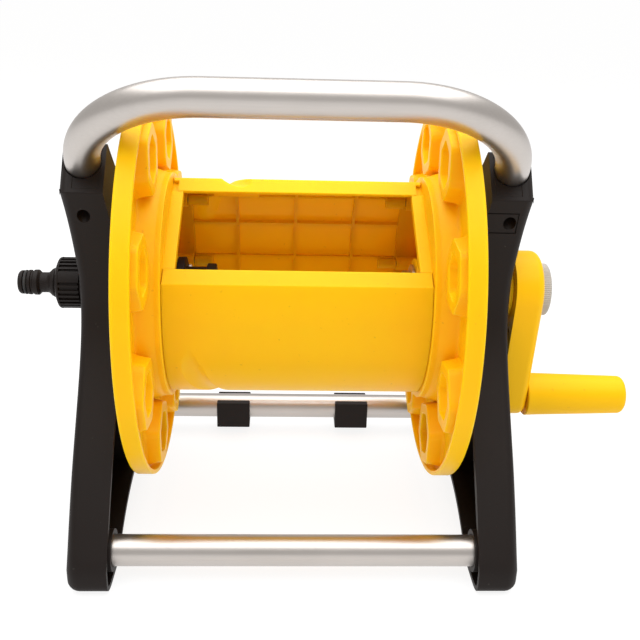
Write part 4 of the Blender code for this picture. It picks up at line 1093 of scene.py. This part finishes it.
flangeLook = {
    "radius": 129,
    "rimInner": 126,
    "rimInnerEdge": 92.8,
    "rimOuterEdge": 104,
    "webInner": 100,
    "webOuter": 103,
    "collarFace": 83.6,
    "collar": 76,
    "collarFlare": 4,
    "spigotFace": 76,
    "spigot": 69.7,
    "spigotInner": 66.7,
    "bossCircle": 101,
    "bossFoot": 25.4,
    "bossTop": 23.2,
    "bossHole": 15.2,
    "bossCorner": 0.32,
    "bossHeight": 10.5,
    "bossStart": 22.5,
    "towerCircle": 59.7,
    "towerRadius": 5,
    "towerFace": 76.3,
    "screwRoom": 2.3,
}
panelLook = {
    "radius": 72.5,
    "wall": 2.5,
    "halfWidth": 83.3,
    "middle": -30.7,
    "half": 49.3,
    "lip": 12.5,
    "lipShort": 3.5,
    "towerAngle": 32,
    "ribHeight": 4,
    "ribThickness": 2.2,
    "ribPitch": 43,
    "ribShift": -0.5,
    "ribShort": 3,
    "barRibAngles": (-22.3, 5.7, 30),
    "barRibHalf": 75.7,
    "bossStart": 75.7,
    "bossLength": 13.5,
    "bossRadius": 3.7,
    "bossWeb": 1.7,
    "screwBite": 12,
}
panelMiddle, panelHalf = [math.radians(panelLook[key]) for key in ("middle", "half")]
panelEdge = panelLook["radius"] * math.sin(panelHalf)  # across, from a panel's middle to its long edge
panelDepth = panelLook["radius"] * math.cos(panelHalf)  # outward, from the axle to that edge


def onPanel(outward, across, angle):  # (y, z) of a point along a panel's middle direction and across it
    return (
        -outward * math.cos(angle) + across * math.sin(angle),
        outward * math.sin(angle) + across * math.cos(angle),
    )


def towerPlaces():
    step = math.radians(panelLook["towerAngle"])
    return [
        roundAxle(flangeLook["towerCircle"], panelMiddle + half + turn * step)
        for half in (0, math.pi)
        for turn in (-1, 1)
    ]


def flangeBody(look, side, name, hub):
    section = hub["outside"] + [
        (look["webOuter"], hub["outside"][-1][1], 1.5),
        (look["webOuter"], look["rimInner"], 1.0),
        (look["rimOuterEdge"], look["rimInner"], 0.5),
        (look["rimOuterEdge"], look["radius"], 1.4),
        (look["rimInnerEdge"], look["radius"], 1.0),
        (look["rimInnerEdge"], look["rimInner"], 0.9),
        (look["webInner"], look["rimInner"], 2.2),
        (look["webInner"], look["collar"] + look["collarFlare"], 4.0),
        (look["collarFace"] + look["collarFlare"], look["collar"], 5.0),
        (look["collarFace"], look["collar"], 0.9),
        (look["collarFace"], look["spigot"]),
        (look["spigotFace"], look["spigot"], 0.5),
        (look["spigotFace"], look["spigotInner"], 0.5),
        (look["webInner"], look["spigotInner"], 2.0),
        (look["webInner"], hub["inside"][0][1], 2.0),
    ] + hub["inside"]
    return lathe(name, [(side * x, radius) for x, radius in softened(section, 5)], 160)


def bossOutline(look):  # six sides, two of them square to the direction of the axle
    start = math.pi / 6 - math.radians(look["bossStart"])
    corners = arc(1, start, start + fullTurn, 6)[:-1]
    return softened([(*corner, look["bossCorner"]) for corner in corners], 5)


def bossRing(look, side, centre):
    top = look["webInner"] - look["bossHeight"]
    hole, crest, foot = look["bossHole"], look["bossTop"], look["bossFoot"]
    section = [
        (look["webInner"] + 1.4, foot + 2.2),
        (look["webInner"] - 0.3, foot + 0.8, 1.4),
        (look["webInner"] - 2.0, foot - 0.4, 2.0),
        (top, crest, 0.9),
        (top, hole + 0.2, 0.7),
        (look["webOuter"] + 0.4, hole - 0.3, 0.5),
        (look["webOuter"] + 0.4, hole + 3.2, 0.4),
        (look["webOuter"] - 1.6, hole + 3.6),
    ]
    profile = [(side * x, size) for x, size in softened(section, 4)]
    return ringed("bossRing", profile, bossOutline(look), centre)


def spigotFlat(look, side, angle):
    # on an open side of the drum: the waste of the spigot, its flat wall and the plate behind
    reach, edge = panelDepth - panelLook["wall"], panelEdge
    face, collar, front = look["collarFace"] + 0.3, look["collar"], look["spigotFace"]

    def flatBox(name, half, low, high, near, far):
        corners = ((-half, low), (half, low), (half, high), (-half, high))
        outline = [onPanel(*corner, angle) for corner in corners]
        return prism(name, outline, *sorted((side * near, side * far)))

    waste = flatBox("spigotWaste", collar, edge, collar + 2, front - 2, face)
    wall = flatBox("spigotWall", reach, edge - 6, edge - 0.3, front + 0.3, face + 0.6)
    edgeBevel(wall, 0.5, sharpEdges(60), 2)
    radius = look["spigotInner"] + 1.5
    spread = math.acos((edge - 4.5) / radius)
    rounding = arc(radius, math.pi / 2 - spread, math.pi / 2 + spread, 24)
    segment = [onPanel(*point, angle) for point in rounding]
    plate = prism("spigotPlate", segment, *sorted((side * (face + 0.3), side * (face + 3))))
    return waste, wall, plate


def flange(look, side, node, hub):
    body = flangeBody(look, side, node + "Disc", hub)
    centre = roundAxle(look["bossCircle"], math.radians(look["bossStart"]))
    size = look["bossHole"] + 2
    room = [(centre[0] + size * a, centre[1] + size * b) for a, b in bossOutline(look)]
    through = sorted((side * (look["webInner"] - 3), side * (look["webOuter"] + 3)))
    window = prism("bossWindow", room, *through)
    cut(body, *ringOf(window, 8))
    add(body, *ringOf(bossRing(look, side, centre), 8))
    for angle in (panelMiddle, panelMiddle + math.pi):
        waste, wall, plate = spigotFlat(look, side, angle)
        cut(body, waste)
        add(body, wall)
        add(body, plate)
    # slots in the spigot for the lips of the panels
    low, high = sorted((side * (look["spigotFace"] - 2), side * (look["collarFace"] + 0.3)))
    slots = []
    for angle in (panelMiddle, panelMiddle + math.pi):
        for turn in (-1, 1):
            across = (turn * (panelEdge + 0.3), turn * (panelEdge - panelLook["wall"] - 0.3))
            outward = (panelDepth - panelLook["lip"] - 0.3, panelDepth)
            corners = [(outward[i], across[j]) for i, j in ((0, 0), (1, 0), (1, 1), (0, 1))]
            slots.append(prism("lipSlot", [onPanel(*corner, angle) for corner in corners], low, high))
    cut(body, *slots)
    root = side * (look["webInner"] + 1.5)
    face = side * look["towerFace"]
    places = towerPlaces()
    add(body, *[pin(root, face, look["towerRadius"], place, 32) for place in places])
    far, near = side * (look["webOuter"] + 3), side * (look["towerFace"] - 3)
    cut(body, *[pin(far, near, look["screwRoom"], place, 24) for place in places])
    return body


leftHubLook = {
    "bore": 9,
    "radius": 17.5,
    "end": 129.6,
    "boss": 19.3,
    "face": 81.3,
    "sleeve": 12.7,
    "sleeveEnd": 105.6,
    "screwCircle": 15.7,
    "screwHole": 1.7,
    "screwDepth": 7.3,
}
rightHubLook = {
    "pilot": 2.5,
    "radius": 20,
    "end": 147.2,
    "face": 81.3,
    "square": 13,
    "squareStart": 140,
    "squareEnd": 162.5,
    "bolt": 5.3,
}
elbowScrews = [roundAxle(leftHubLook["screwCircle"], panelMiddle + half) for half in (0, math.pi)]


def leftFlange(hub):
    outside = [(hub["end"], hub["bore"]), (hub["end"], hub["radius"], 0.8)]
    inside = [
        (hub["face"], hub["boss"], 0.6),
        (hub["face"], hub["sleeve"]),
        (hub["sleeveEnd"], hub["sleeve"]),
        (hub["sleeveEnd"], hub["bore"]),
    ]
    body = flange(flangeLook, -1, "left_flange", {"outside": outside, "inside": inside})
    start, end = 3 - hub["face"], -hub["face"] - hub["screwDepth"]
    cut(body, *[pin(start, end, hub["screwHole"], place, 24) for place in elbowScrews])
    handOver(body, "drum", "yellow_plastic", "left_flange")


def rightFlange(hub):
    outside = [(hub["end"], hub["pilot"]), (hub["end"], hub["radius"], 0.8)]
    inside = [(hub["face"], hub["radius"], 0.6), (hub["face"], hub["pilot"])]
    body = flange(flangeLook, 1, "right_flange", {"outside": outside, "inside": inside})
    half = hub["square"]
    drive = block((hub["squareStart"], -half, -half), (hub["squareEnd"], half, half))
    edgeBevel(drive, 1.0, sharpEdges(60), 2)
    add(body, drive)
    cut(body, pin(hub["face"] - 3, hub["squareEnd"] + 3, hub["bolt"]))
    handOver(body, "drum", "yellow_plastic", "right_flange")


leftFlange(leftHubLook)
rightFlange(rightHubLook)
print("flanges made")

# Drum panels: two equal curved walls with straight lips, ribs inside and a slanting groove for the hose

grooveLook = {
    "radius": 10.5,
    "shift": -41.5,  # where the groove passes the edge
    "slant": -26.5,  # how far it runs aside on its way up
    "span": 65,  # degrees of the drum from the edge to its upper end
    "count": 36,
    "runLength": 1.26,  # of the tube, in shares of the span
    "runBelow": 0.18,  # the share of it below the edge
    "edgeDepth": 5.0,
    "edgeShare": 0.24,  # the share in which the depth changes from the edge to the wall
    "wallDepth": 2.9,
    "fadeStart": 0.66,
    "fadeShare": 0.4,
    "backing": 9,
    "backSpan": 12,
    "backHalf": 15,
    "skin": 2.0,
}


def panelSection(look):
    lipEnd = panelDepth - look["lip"]
    inner = look["radius"] - look["wall"]
    innerEdge = panelEdge - look["wall"]
    innerHalf = math.asin(innerEdge / inner)
    section = arc(look["radius"], panelHalf, -panelHalf, 72)
    section[0] = (*section[0], 0.9)
    section[-1] = (*section[-1], 0.9)
    section += [(lipEnd, -panelEdge, 0.5), (lipEnd, -innerEdge, 0.5)]
    section += arc(inner, -innerHalf, innerHalf, 56)
    section += [(lipEnd, innerEdge, 0.5), (lipEnd, panelEdge, 0.5)]
    return section


def hoseGroove(look, skin=0.0):
    # a tube laid on the drum along the slant, which cuts the groove or thickens the wall under it
    edge = panelMiddle - panelHalf
    bpy.ops.curve.primitive_nurbs_path_add(location=(0, 0, 0))
    path = bpy.context.object
    path.data.splines.clear()
    spline = path.data.splines.new("POLY")
    count, wall, span = look["count"], look["wallDepth"], math.radians(look["span"])
    spline.points.add(count)
    for i in range(count + 1):
        t = i / count * look["runLength"] - look["runBelow"]
        depth = look["edgeDepth"] + (wall - look["edgeDepth"]) * eased(t, -0.02, look["edgeShare"])
        depth -= (wall + 0.2) * eased(t, look["fadeStart"], look["fadeShare"])
        place = roundAxle(panelLook["radius"] + look["radius"] - depth, edge + span * t)
        along = look["shift"] + look["slant"] * t * (2 - t)
        spline.points[i].co = (*at(along, *place), 1)
    path.data.dimensions = "3D"
    path.data.bevel_depth = (look["radius"] + skin) * mm
    path.data.bevel_resolution = 12
    path.data.use_fill_caps = True
    selectOnly(path)
    bpy.ops.object.convert(target="MESH")
    return cleanMesh(bpy.context.object)


def ringRib(look, x):
    half = math.radians(look["half"] - look["ribShort"])
    inner = look["radius"] - look["wall"]
    section = arc(inner + look["wall"] / 2, half, -half, 40)
    section += arc(inner - look["ribHeight"], -half, half, 40)
    outline = [onPanel(*point, panelMiddle) for point in section]
    return prism("ringRib", outline, x - look["ribThickness"] / 2, x + look["ribThickness"] / 2)


def frontPanel(look):
    width = look["halfWidth"]
    section = [onPanel(*point, panelMiddle) for point in softened(panelSection(look), 4)]
    panel = prism("frontPanelWall", section, -width, width)
    for step in (-1, 0, 1):
        add(panel, ringRib(look, look["ribShift"] + step * look["ribPitch"]))
    inner = look["radius"] - look["wall"]
    for turn in look["barRibAngles"]:
        angle = panelMiddle + math.radians(turn)
        ends = roundAxle(inner - look["ribHeight"], angle), roundAxle(inner + look["wall"] / 2, angle)
        add(panel, wallBetween(*ends, -look["barRibHalf"], look["barRibHalf"], look["ribThickness"]))
    # thicker behind the hose's notch
    inside = look["wall"] / 2
    span = math.radians(grooveLook["backSpan"])
    backing = arc(look["radius"] - inside, -panelHalf + span, -panelHalf + inside / look["radius"], 12)
    lipX, lipY = panelDepth - look["lip"] + inside, inside - panelEdge
    backing += [(lipX, lipY), (lipX, lipY + grooveLook["backing"] / 2)]
    inward = Vector((math.cos(panelHalf), -math.sin(panelHalf))) * grooveLook["backing"]
    backing += [tuple(Vector(backing[0]) - inward)]
    outline = [onPanel(*point, panelMiddle) for point in backing]
    middle, reach = grooveLook["shift"], grooveLook["backHalf"]
    add(panel, prism("notchBacking", outline, middle - reach, middle + reach))
    for place in towerPlaces()[:2]:
        for side in (-1, 1):
            start, end = side * look["bossStart"], side * (look["bossStart"] - look["bossLength"])
            web = sorted((start - side * 0.8, end + side * 0.8))
            wall = [part * (inner + look["wall"] / 2) / flangeLook["towerCircle"] for part in place]
            add(panel, pin(start, end, look["bossRadius"], place, 32))
            add(panel, wallBetween(place, wall, *web, look["bossWeb"]))
            deep = side * (look["bossStart"] - look["screwBite"] - 0.3)
            cut(panel, pin(start + side * 3, deep, flangeLook["screwRoom"], place, 24))
    add(panel, hoseGroove(grooveLook, grooveLook["skin"]))
    reach = look["radius"] + 4 * grooveLook["radius"]
    outside = [(-width - 2, look["radius"]), (-width - 2, reach), (0, reach), (0, look["radius"])]
    cut(panel, lathe("drumOutside", outside, 288))
    below = [(reach, -panelEdge), (-reach, -panelEdge), (-reach, -reach), (reach, -reach)]
    cut(panel, prism("edgeOutside", [onPanel(*corner, panelMiddle) for corner in below], -width - 2, 0))
    cut(panel, hoseGroove(grooveLook))
    # the lower lip stops short of the collars
    near, far = panelDepth - look["lip"] - 2, panelDepth - 2.6
    lower, upper = -panelEdge - 2, 4 - panelEdge
    corners = [(near, lower), (far, lower), (far, upper), (near, upper)]
    outline = [onPanel(*corner, panelMiddle) for corner in corners]
    stops = [prism("lipStop", outline, width - look["lipShort"], width + 3)]
    stops += [prism("lipStop", outline, -width - 3, look["lipShort"] - width)]
    cut(panel, *stops)
    return panel


panel = frontPanel(panelLook)
rearPanel = copied(panel, "rearPanelWall", turnedRound(math.pi))
handOver(panel, "drum", "yellow_plastic", "front_drum_panel", smooth=30)
handOver(rearPanel, "drum", "yellow_plastic", "rear_drum_panel", smooth=30)
print("drum panels made")

# Screws: one of each size with a cross recess, stood in every place

screwLook = {
    "radius": 2,
    "head": 3.8,
    "height": 2.6,
    "pitch": 1.3,
    "depth": 0.35,
    "slot": 0.85,
    "slotDepth": 1.4,
}
smallScrewLook = {
    "radius": 1.4,
    "head": 2.5,
    "height": 2.6,
    "pitch": 1.0,
    "depth": 0.25,
    "slot": 0.6,
    "slotDepth": 1.2,
}
screwLengths = {"arm": 5.8, "foot": 9.3, "panel": 39, "elbow": 12.1}


def screw(look, length):
    # lies along the axle's direction from the outer face of its head
    radius, head, height = look["radius"], look["head"], look["height"]
    profile = [(0, 0), (0.05, 0.45 * head), (0.3, 0.75 * head), (0.9, 0.94 * head), (1.6, head, 0.2)]
    profile += [(height, head, 0.2), (height, radius)]
    turn = height + 0.6
    while turn + look["pitch"] < height + length - 2:
        profile += [(turn, radius - look["depth"]), (turn + look["pitch"] / 2, radius)]
        turn += look["pitch"]
    profile += [(height + length - 1.6, radius - look["depth"]), (height + length, 0)]
    made = lathe("screwPattern", softened(profile, 2), 28)
    half = 0.62 * head
    arms = [
        block((-1, -half, -look["slot"] / 2), (look["slotDepth"], half, look["slot"] / 2)),
        block((-1, -look["slot"] / 2, -half), (look["slotDepth"], look["slot"] / 2, half)),
    ]
    for arm in arms:
        cut(made, arm)
    return made


def setScrews(look, length, body, places):
    pattern = screw(look, length)
    for node, place, direction in places:
        twin = stood(copied(pattern, node + "Steel"), at(*place), direction)
        handOver(twin, body, "zinc_steel", node)
    bpy.data.objects.remove(pattern)


armScrews, footScrews, panelScrews = [], [], []
for side, word in ((-1, "left"), (1, "right")):
    target = headFace + legRun * frameLook["screwSeat"] + Vector((side * handleLook["spread"], 0, 0))
    back = frameLook["headBelow"] - frameLook["screwRecess"] + screwLook["height"] + 0.3
    armScrews.append((word + "_handle_screw", target - legSquare * back, legSquare))
    under = floorZ + frameLook["postRecess"] - screwLook["height"] - 0.3
    for bar, end in ((frontBar, "front"), (rearBar, "rear")):
        place = (side * frameLook["postX"], bar[0], under)
        footScrews.append((end + "_" + word + "_bar_screw", place, (0, 0, 1)))
    outside = side * (flangeLook["webOuter"] + 0.3 + screwLook["height"])
    for i, place in enumerate(towerPlaces(), 1):
        panelScrews.append((word + "_panel_screw_" + str(i), (outside, *place), (-side, 0, 0)))
setScrews(screwLook, screwLengths["arm"], "frame", armScrews)
setScrews(screwLook, screwLengths["foot"], "frame", footScrews)
setScrews(screwLook, screwLengths["panel"], "drum", panelScrews)
print("screws made")

# Outlet inside the drum

elbowLook = {
    "face": 81.0,
    "sleeveEnd": 105.0,
    "ringEnd": 75.6,
    "ring": 19,
    "tube": 12.4,
    "beadStart": 61.7,
    "beadEnd": 55.0,
    "bead": 14.7,
    "branchX": 68.7,
    "branch": 10,
    "bore": 6,
    "length": 44,
    "journalRoom": 9,
    "swivelEnd": 75.0,
    "nut": 15,
    "nutWidth": 14,
    "nutRibs": 18,
}


def outletElbow(look):
    profile = [
        (-look["sleeveEnd"], look["journalRoom"]),
        (-look["sleeveEnd"], look["tube"], 0.4),
        (-look["face"], look["tube"]),
        (-look["face"], look["ring"], 0.6),
        (-look["ringEnd"], look["ring"], 0.8),
        (-look["ringEnd"], look["tube"], 0.8),
        (-look["beadStart"], look["tube"], 0.6),
        (-look["beadStart"] + 0.4, look["bead"], 0.9),
        (-look["beadEnd"], look["bead"], 1.2),
        (-look["beadEnd"], 0),
        (-look["branchX"], 0),
        (-look["branchX"], look["bore"]),
        (-look["swivelEnd"], look["bore"]),
        (-look["swivelEnd"], look["journalRoom"]),
    ]
    body = lathe("outletElbowBody", softened(profile, 3), 72)
    gap = panelMiddle + 1.5 * math.pi
    start = (-look["branchX"], *roundAxle(0, gap))
    tip = (-look["branchX"], *roundAxle(look["length"], gap))
    past = (-look["branchX"], *roundAxle(look["length"] + 3, gap))
    add(body, rod(start, tip, look["branch"], sides=56))
    cut(body, rod(start, past, look["bore"], sides=40))
    low, high, hole = -look["face"] - 3, 3 - look["ringEnd"], leftHubLook["screwHole"]
    cut(body, *[pin(low, high, hole, place, 24) for place in elbowScrews])
    handOver(body, "drum", "black_plastic", "outlet_elbow")
    low, high = look["length"] - look["nutWidth"], look["length"] - 0.3
    wall = [(0, look["branch"] + 0.3), (0, look["nut"] - 0.9, 0.6), (high - low, look["nut"] - 0.9, 0.6)]
    wall += [(high - low, look["branch"] + 0.3)]
    nut = lathe("hoseNutRing", softened(wall, 3), 72)
    rib = block((1, -0.9, look["nut"] - 2), (high - low - 1, 0.9, look["nut"] - 0.2))
    edgeBevel(rib, 0.5, sharpEdges(60), 2)
    add(nut, *ringOf(rib, look["nutRibs"]))
    direction = Vector((0, *roundAxle(1, gap)))
    stood(nut, at(-look["branchX"], *roundAxle(low, gap)), direction)
    handOver(nut, "drum", "black_plastic", "hose_nut")
    heads = [
        ("elbow_screw_" + str(i), (smallScrewLook["height"] + 0.3 - look["ringEnd"], *place), (-1, 0, 0))
        for i, place in enumerate(elbowScrews, 1)
    ]
    setScrews(smallScrewLook, screwLengths["elbow"], "drum", heads)


outletElbow(elbowLook)
print("outlet made")

# Crank, its bolt and the grip

boltLook = {
    "radius": 5,
    "head": 12,
    "headLow": 72.7,
    "headHigh": 78.7,
    "end": 171.9,
    "washer": 16,
    "washerLow": 79,
    "washerHigh": 81,
    "pitch": 1.25,
    "threadFrom": 150,
}


def crankBolt(look):
    low, high, radius = look["headLow"], look["headHigh"], look["radius"]
    head = prism("crankBoltSteel", arc(look["head"], 0, fullTurn, 6)[:-1], low, high)
    # the corners of the hexagon are turned off
    flat = look["head"] * math.cos(math.pi / 6)
    room = [(low - 1, flat - 2.4), (low + 1.6, look["head"] + 0.6), (low + 1.6, 20), (low - 1, 20)]
    cut(head, lathe("cornerTool", room, 72))
    shank = [(low + 2, 0), (low + 2, radius), (look["threadFrom"], radius)]
    turn = look["threadFrom"] + 0.4
    while turn + look["pitch"] < look["end"] - 1:
        shank += [(turn, radius - 0.5), (turn + look["pitch"] / 2, radius)]
        turn += look["pitch"]
    shank += [(look["end"] - 0.8, radius - 0.5), (look["end"], radius - 1.2), (look["end"], 0)]
    add(head, lathe("shankTool", shank, 48))
    handOver(head, "drum", "zinc_steel", "crank_bolt", smooth=30)
    ring = [(look["washerLow"], radius + 0.3), (look["washerLow"], look["washer"], 0.5)]
    ring += [(look["washerHigh"], look["washer"], 0.5), (look["washerHigh"], radius + 0.3)]
    handOver(lathe("crankBoltDisc", softened(ring, 3), 72), "drum", "zinc_steel", "crank_bolt_washer")


crankBolt(boltLook)

crankLook = {
    "inner": 147.5,
    "outer": 167.5,
    "hub": 27,
    "end": 14.5,
    "length": 81,
    "wall": 3,
    "round": 5.5,  # of the outer edge
    "square": 13.3,
    "squareEnd": 162.8,
    "bolt": 5.3,
    "gripBolt": 4.0,
}


def crankArm(look):
    length, hub, end = look["length"], look["hub"], look["end"]
    tilt = math.asin((hub - end) / length)
    outline = arc(hub, -tilt, math.pi + tilt, 48)
    outline += arc(end, math.pi + tilt, fullTurn - tilt, 36, (0, -length))
    arm = prism("crankArmMoulding", outline, look["inner"], look["outer"])

    def outerEdge(a, b, faces):
        return float(min(a.x, b.x) > look["outer"] - 0.1 and len(faces) == 2)

    edgeBevel(arm, look["round"], outerEdge, 7)
    half = look["square"]
    cut(arm, block((look["inner"] - 3, -half, -half), (look["squareEnd"], half, half)))
    cut(arm, pin(look["inner"], look["outer"] + 3, look["bolt"]))
    top, bottom = look["wall"] - hub, end - length - look["wall"]
    slope = (hub - end) / length
    widths = [hub + slope * z - 2 * look["wall"] for z in (top, bottom)]
    pocket = [(-widths[0], top), (widths[0], top), (widths[1], bottom), (-widths[1], bottom)]
    pocket = softened([(*point, 2) for point in pocket], 4)
    cut(arm, prism("pocketTool", pocket, look["inner"] - 3, look["outer"] - look["wall"]))
    cut(arm, pin(look["inner"] + look["wall"], look["outer"] + 3, look["gripBolt"], (0, -length)))
    handOver(arm, "drum", "yellow_plastic", "crank_arm", smooth=30, finish="solid_yellow")


crankArm(crankLook)

capLook = {
    "low": 167.8,
    "high": 174.2,
    "radius": 18.2,
    "bolt": 5.3,
    "depth": 172.2,
    "ridges": 84,
    "ridge": 0.45,
}


def squeezeRidges(piece, centre, ridges, share, low, high, fromRadius):
    # every second line of the turned side goes in, which leaves ridges
    editNone(piece)
    for vertex in piece.data.vertices:
        out = (vertex.co - centre) / mm
        turn = math.atan2(out.y, out.z) / fullTurn * 2 * ridges
        inBand = low < fromAxle(vertex.co).x < high and math.hypot(out.y, out.z) > fromRadius
        vertex.select = inBand and round(turn) % 2 == 1
    bpy.ops.object.mode_set(mode="EDIT")
    bpy.ops.transform.resize(value=(1, share, share), center_override=centre)
    bpy.ops.object.mode_set(mode="OBJECT")


def crankCap(look):
    low, high, radius = look["low"], look["high"], look["radius"]
    profile = [
        (low, look["bolt"]),
        (low, radius - 0.5),
        (low + 0.4, radius),
        (high - 1.0, radius),
        (high - 0.35, radius - 0.35),
        (high, radius - 1.1),
        (high, radius - 4.0, 0.6),
        (high - 1.2, radius - 5.2, 0.6),
        (high - 1.2, 0),
        (look["depth"], 0),
        (look["depth"], look["bolt"]),
    ]
    cap = lathe("crankCapDisc", softened(profile, 3), 2 * look["ridges"])
    squeezeRidges(cap, axle, look["ridges"], 1 - look["ridge"] / radius, low - 1, high + 1, radius - 0.6)
    handOver(cap, "drum", "grey_plastic", "crank_cap", smooth=15)


crankCap(capLook)

gripLook = {
    "low": 167.8,
    "high": 240.8,
    "base": 15.6,
    "tip": 13.7,
    "endRound": 4,
    "bore": 4.0,
    "recess": 7.1,
    "recessDepth": 7,
    "ridges": 40,
    "ridge": 0.36,
    "collar": 5.0,
    "boltRadius": 3.7,
    "boltHead": 6.5,
    "boltHeadHeight": 4,
    "boltEnd": 150.8,
    "boltSlot": (1.6, 4.2, 0.7),  # depth, half length and half width of its cross
}
gripAxis = joints["grip_spin"]
gripPlace = (0, -crankLook["length"])


def crankGrip(look):
    low, high, base, tip = look["low"], look["high"], look["base"], look["tip"]
    floor = high - look["recessDepth"]
    profile = [
        (low, look["bore"]),
        (low, base - 0.6),
        (low + 0.6, base),
        (low + look["collar"], base - 0.1),
        (low + look["collar"] + 0.8, base - 0.25),
        (high - look["endRound"] - 1.5, tip + 0.05),
        (high - look["endRound"], tip),
    ]
    middle = (tip - look["endRound"], high - look["endRound"])
    rounding = arc(look["endRound"], 0, math.pi / 2, 6, middle)
    profile += [(x, radius) for radius, x in rounding[1:]]
    profile += [(high, look["recess"], 0.6), (floor, look["recess"]), (floor, look["bore"])]
    grip = lathe("gripMoulding", softened(profile, 3), 2 * look["ridges"], gripPlace)
    ribLow, ribHigh = low + look["collar"] + 0.5, high - look["endRound"] - 1
    squeezeRidges(grip, gripAxis, look["ridges"], 1 - look["ridge"] / base, ribLow, ribHigh, tip - 1)
    handOver(grip, "grip", "yellow_plastic", "crank_grip", smooth=25, finish="solid_yellow")
    headLow = floor + 0.3
    headHigh = headLow + look["boltHeadHeight"]
    radius, head = look["boltRadius"], look["boltHead"]
    bolt = [(look["boltEnd"], 0), (look["boltEnd"], radius - 0.6), (look["boltEnd"] + 0.6, radius)]
    bolt += [(headLow, radius), (headLow, head, 0.3), (headHigh - 1.2, head, 1.0)]
    bolt += [(headHigh, head - 2.2, 0.8), (headHigh, 0)]
    steel = lathe("gripBoltSteel", softened(bolt, 3), 48, gripPlace)
    half, middle = Vector(look["boltSlot"]), Vector((headHigh, *gripPlace))
    for turn in (0, math.pi / 2):
        cut(steel, block(middle - half, middle + half, turn))
    handOver(steel, "drum", "zinc_steel", "grip_bolt")


crankGrip(gripLook)
print("crank made")
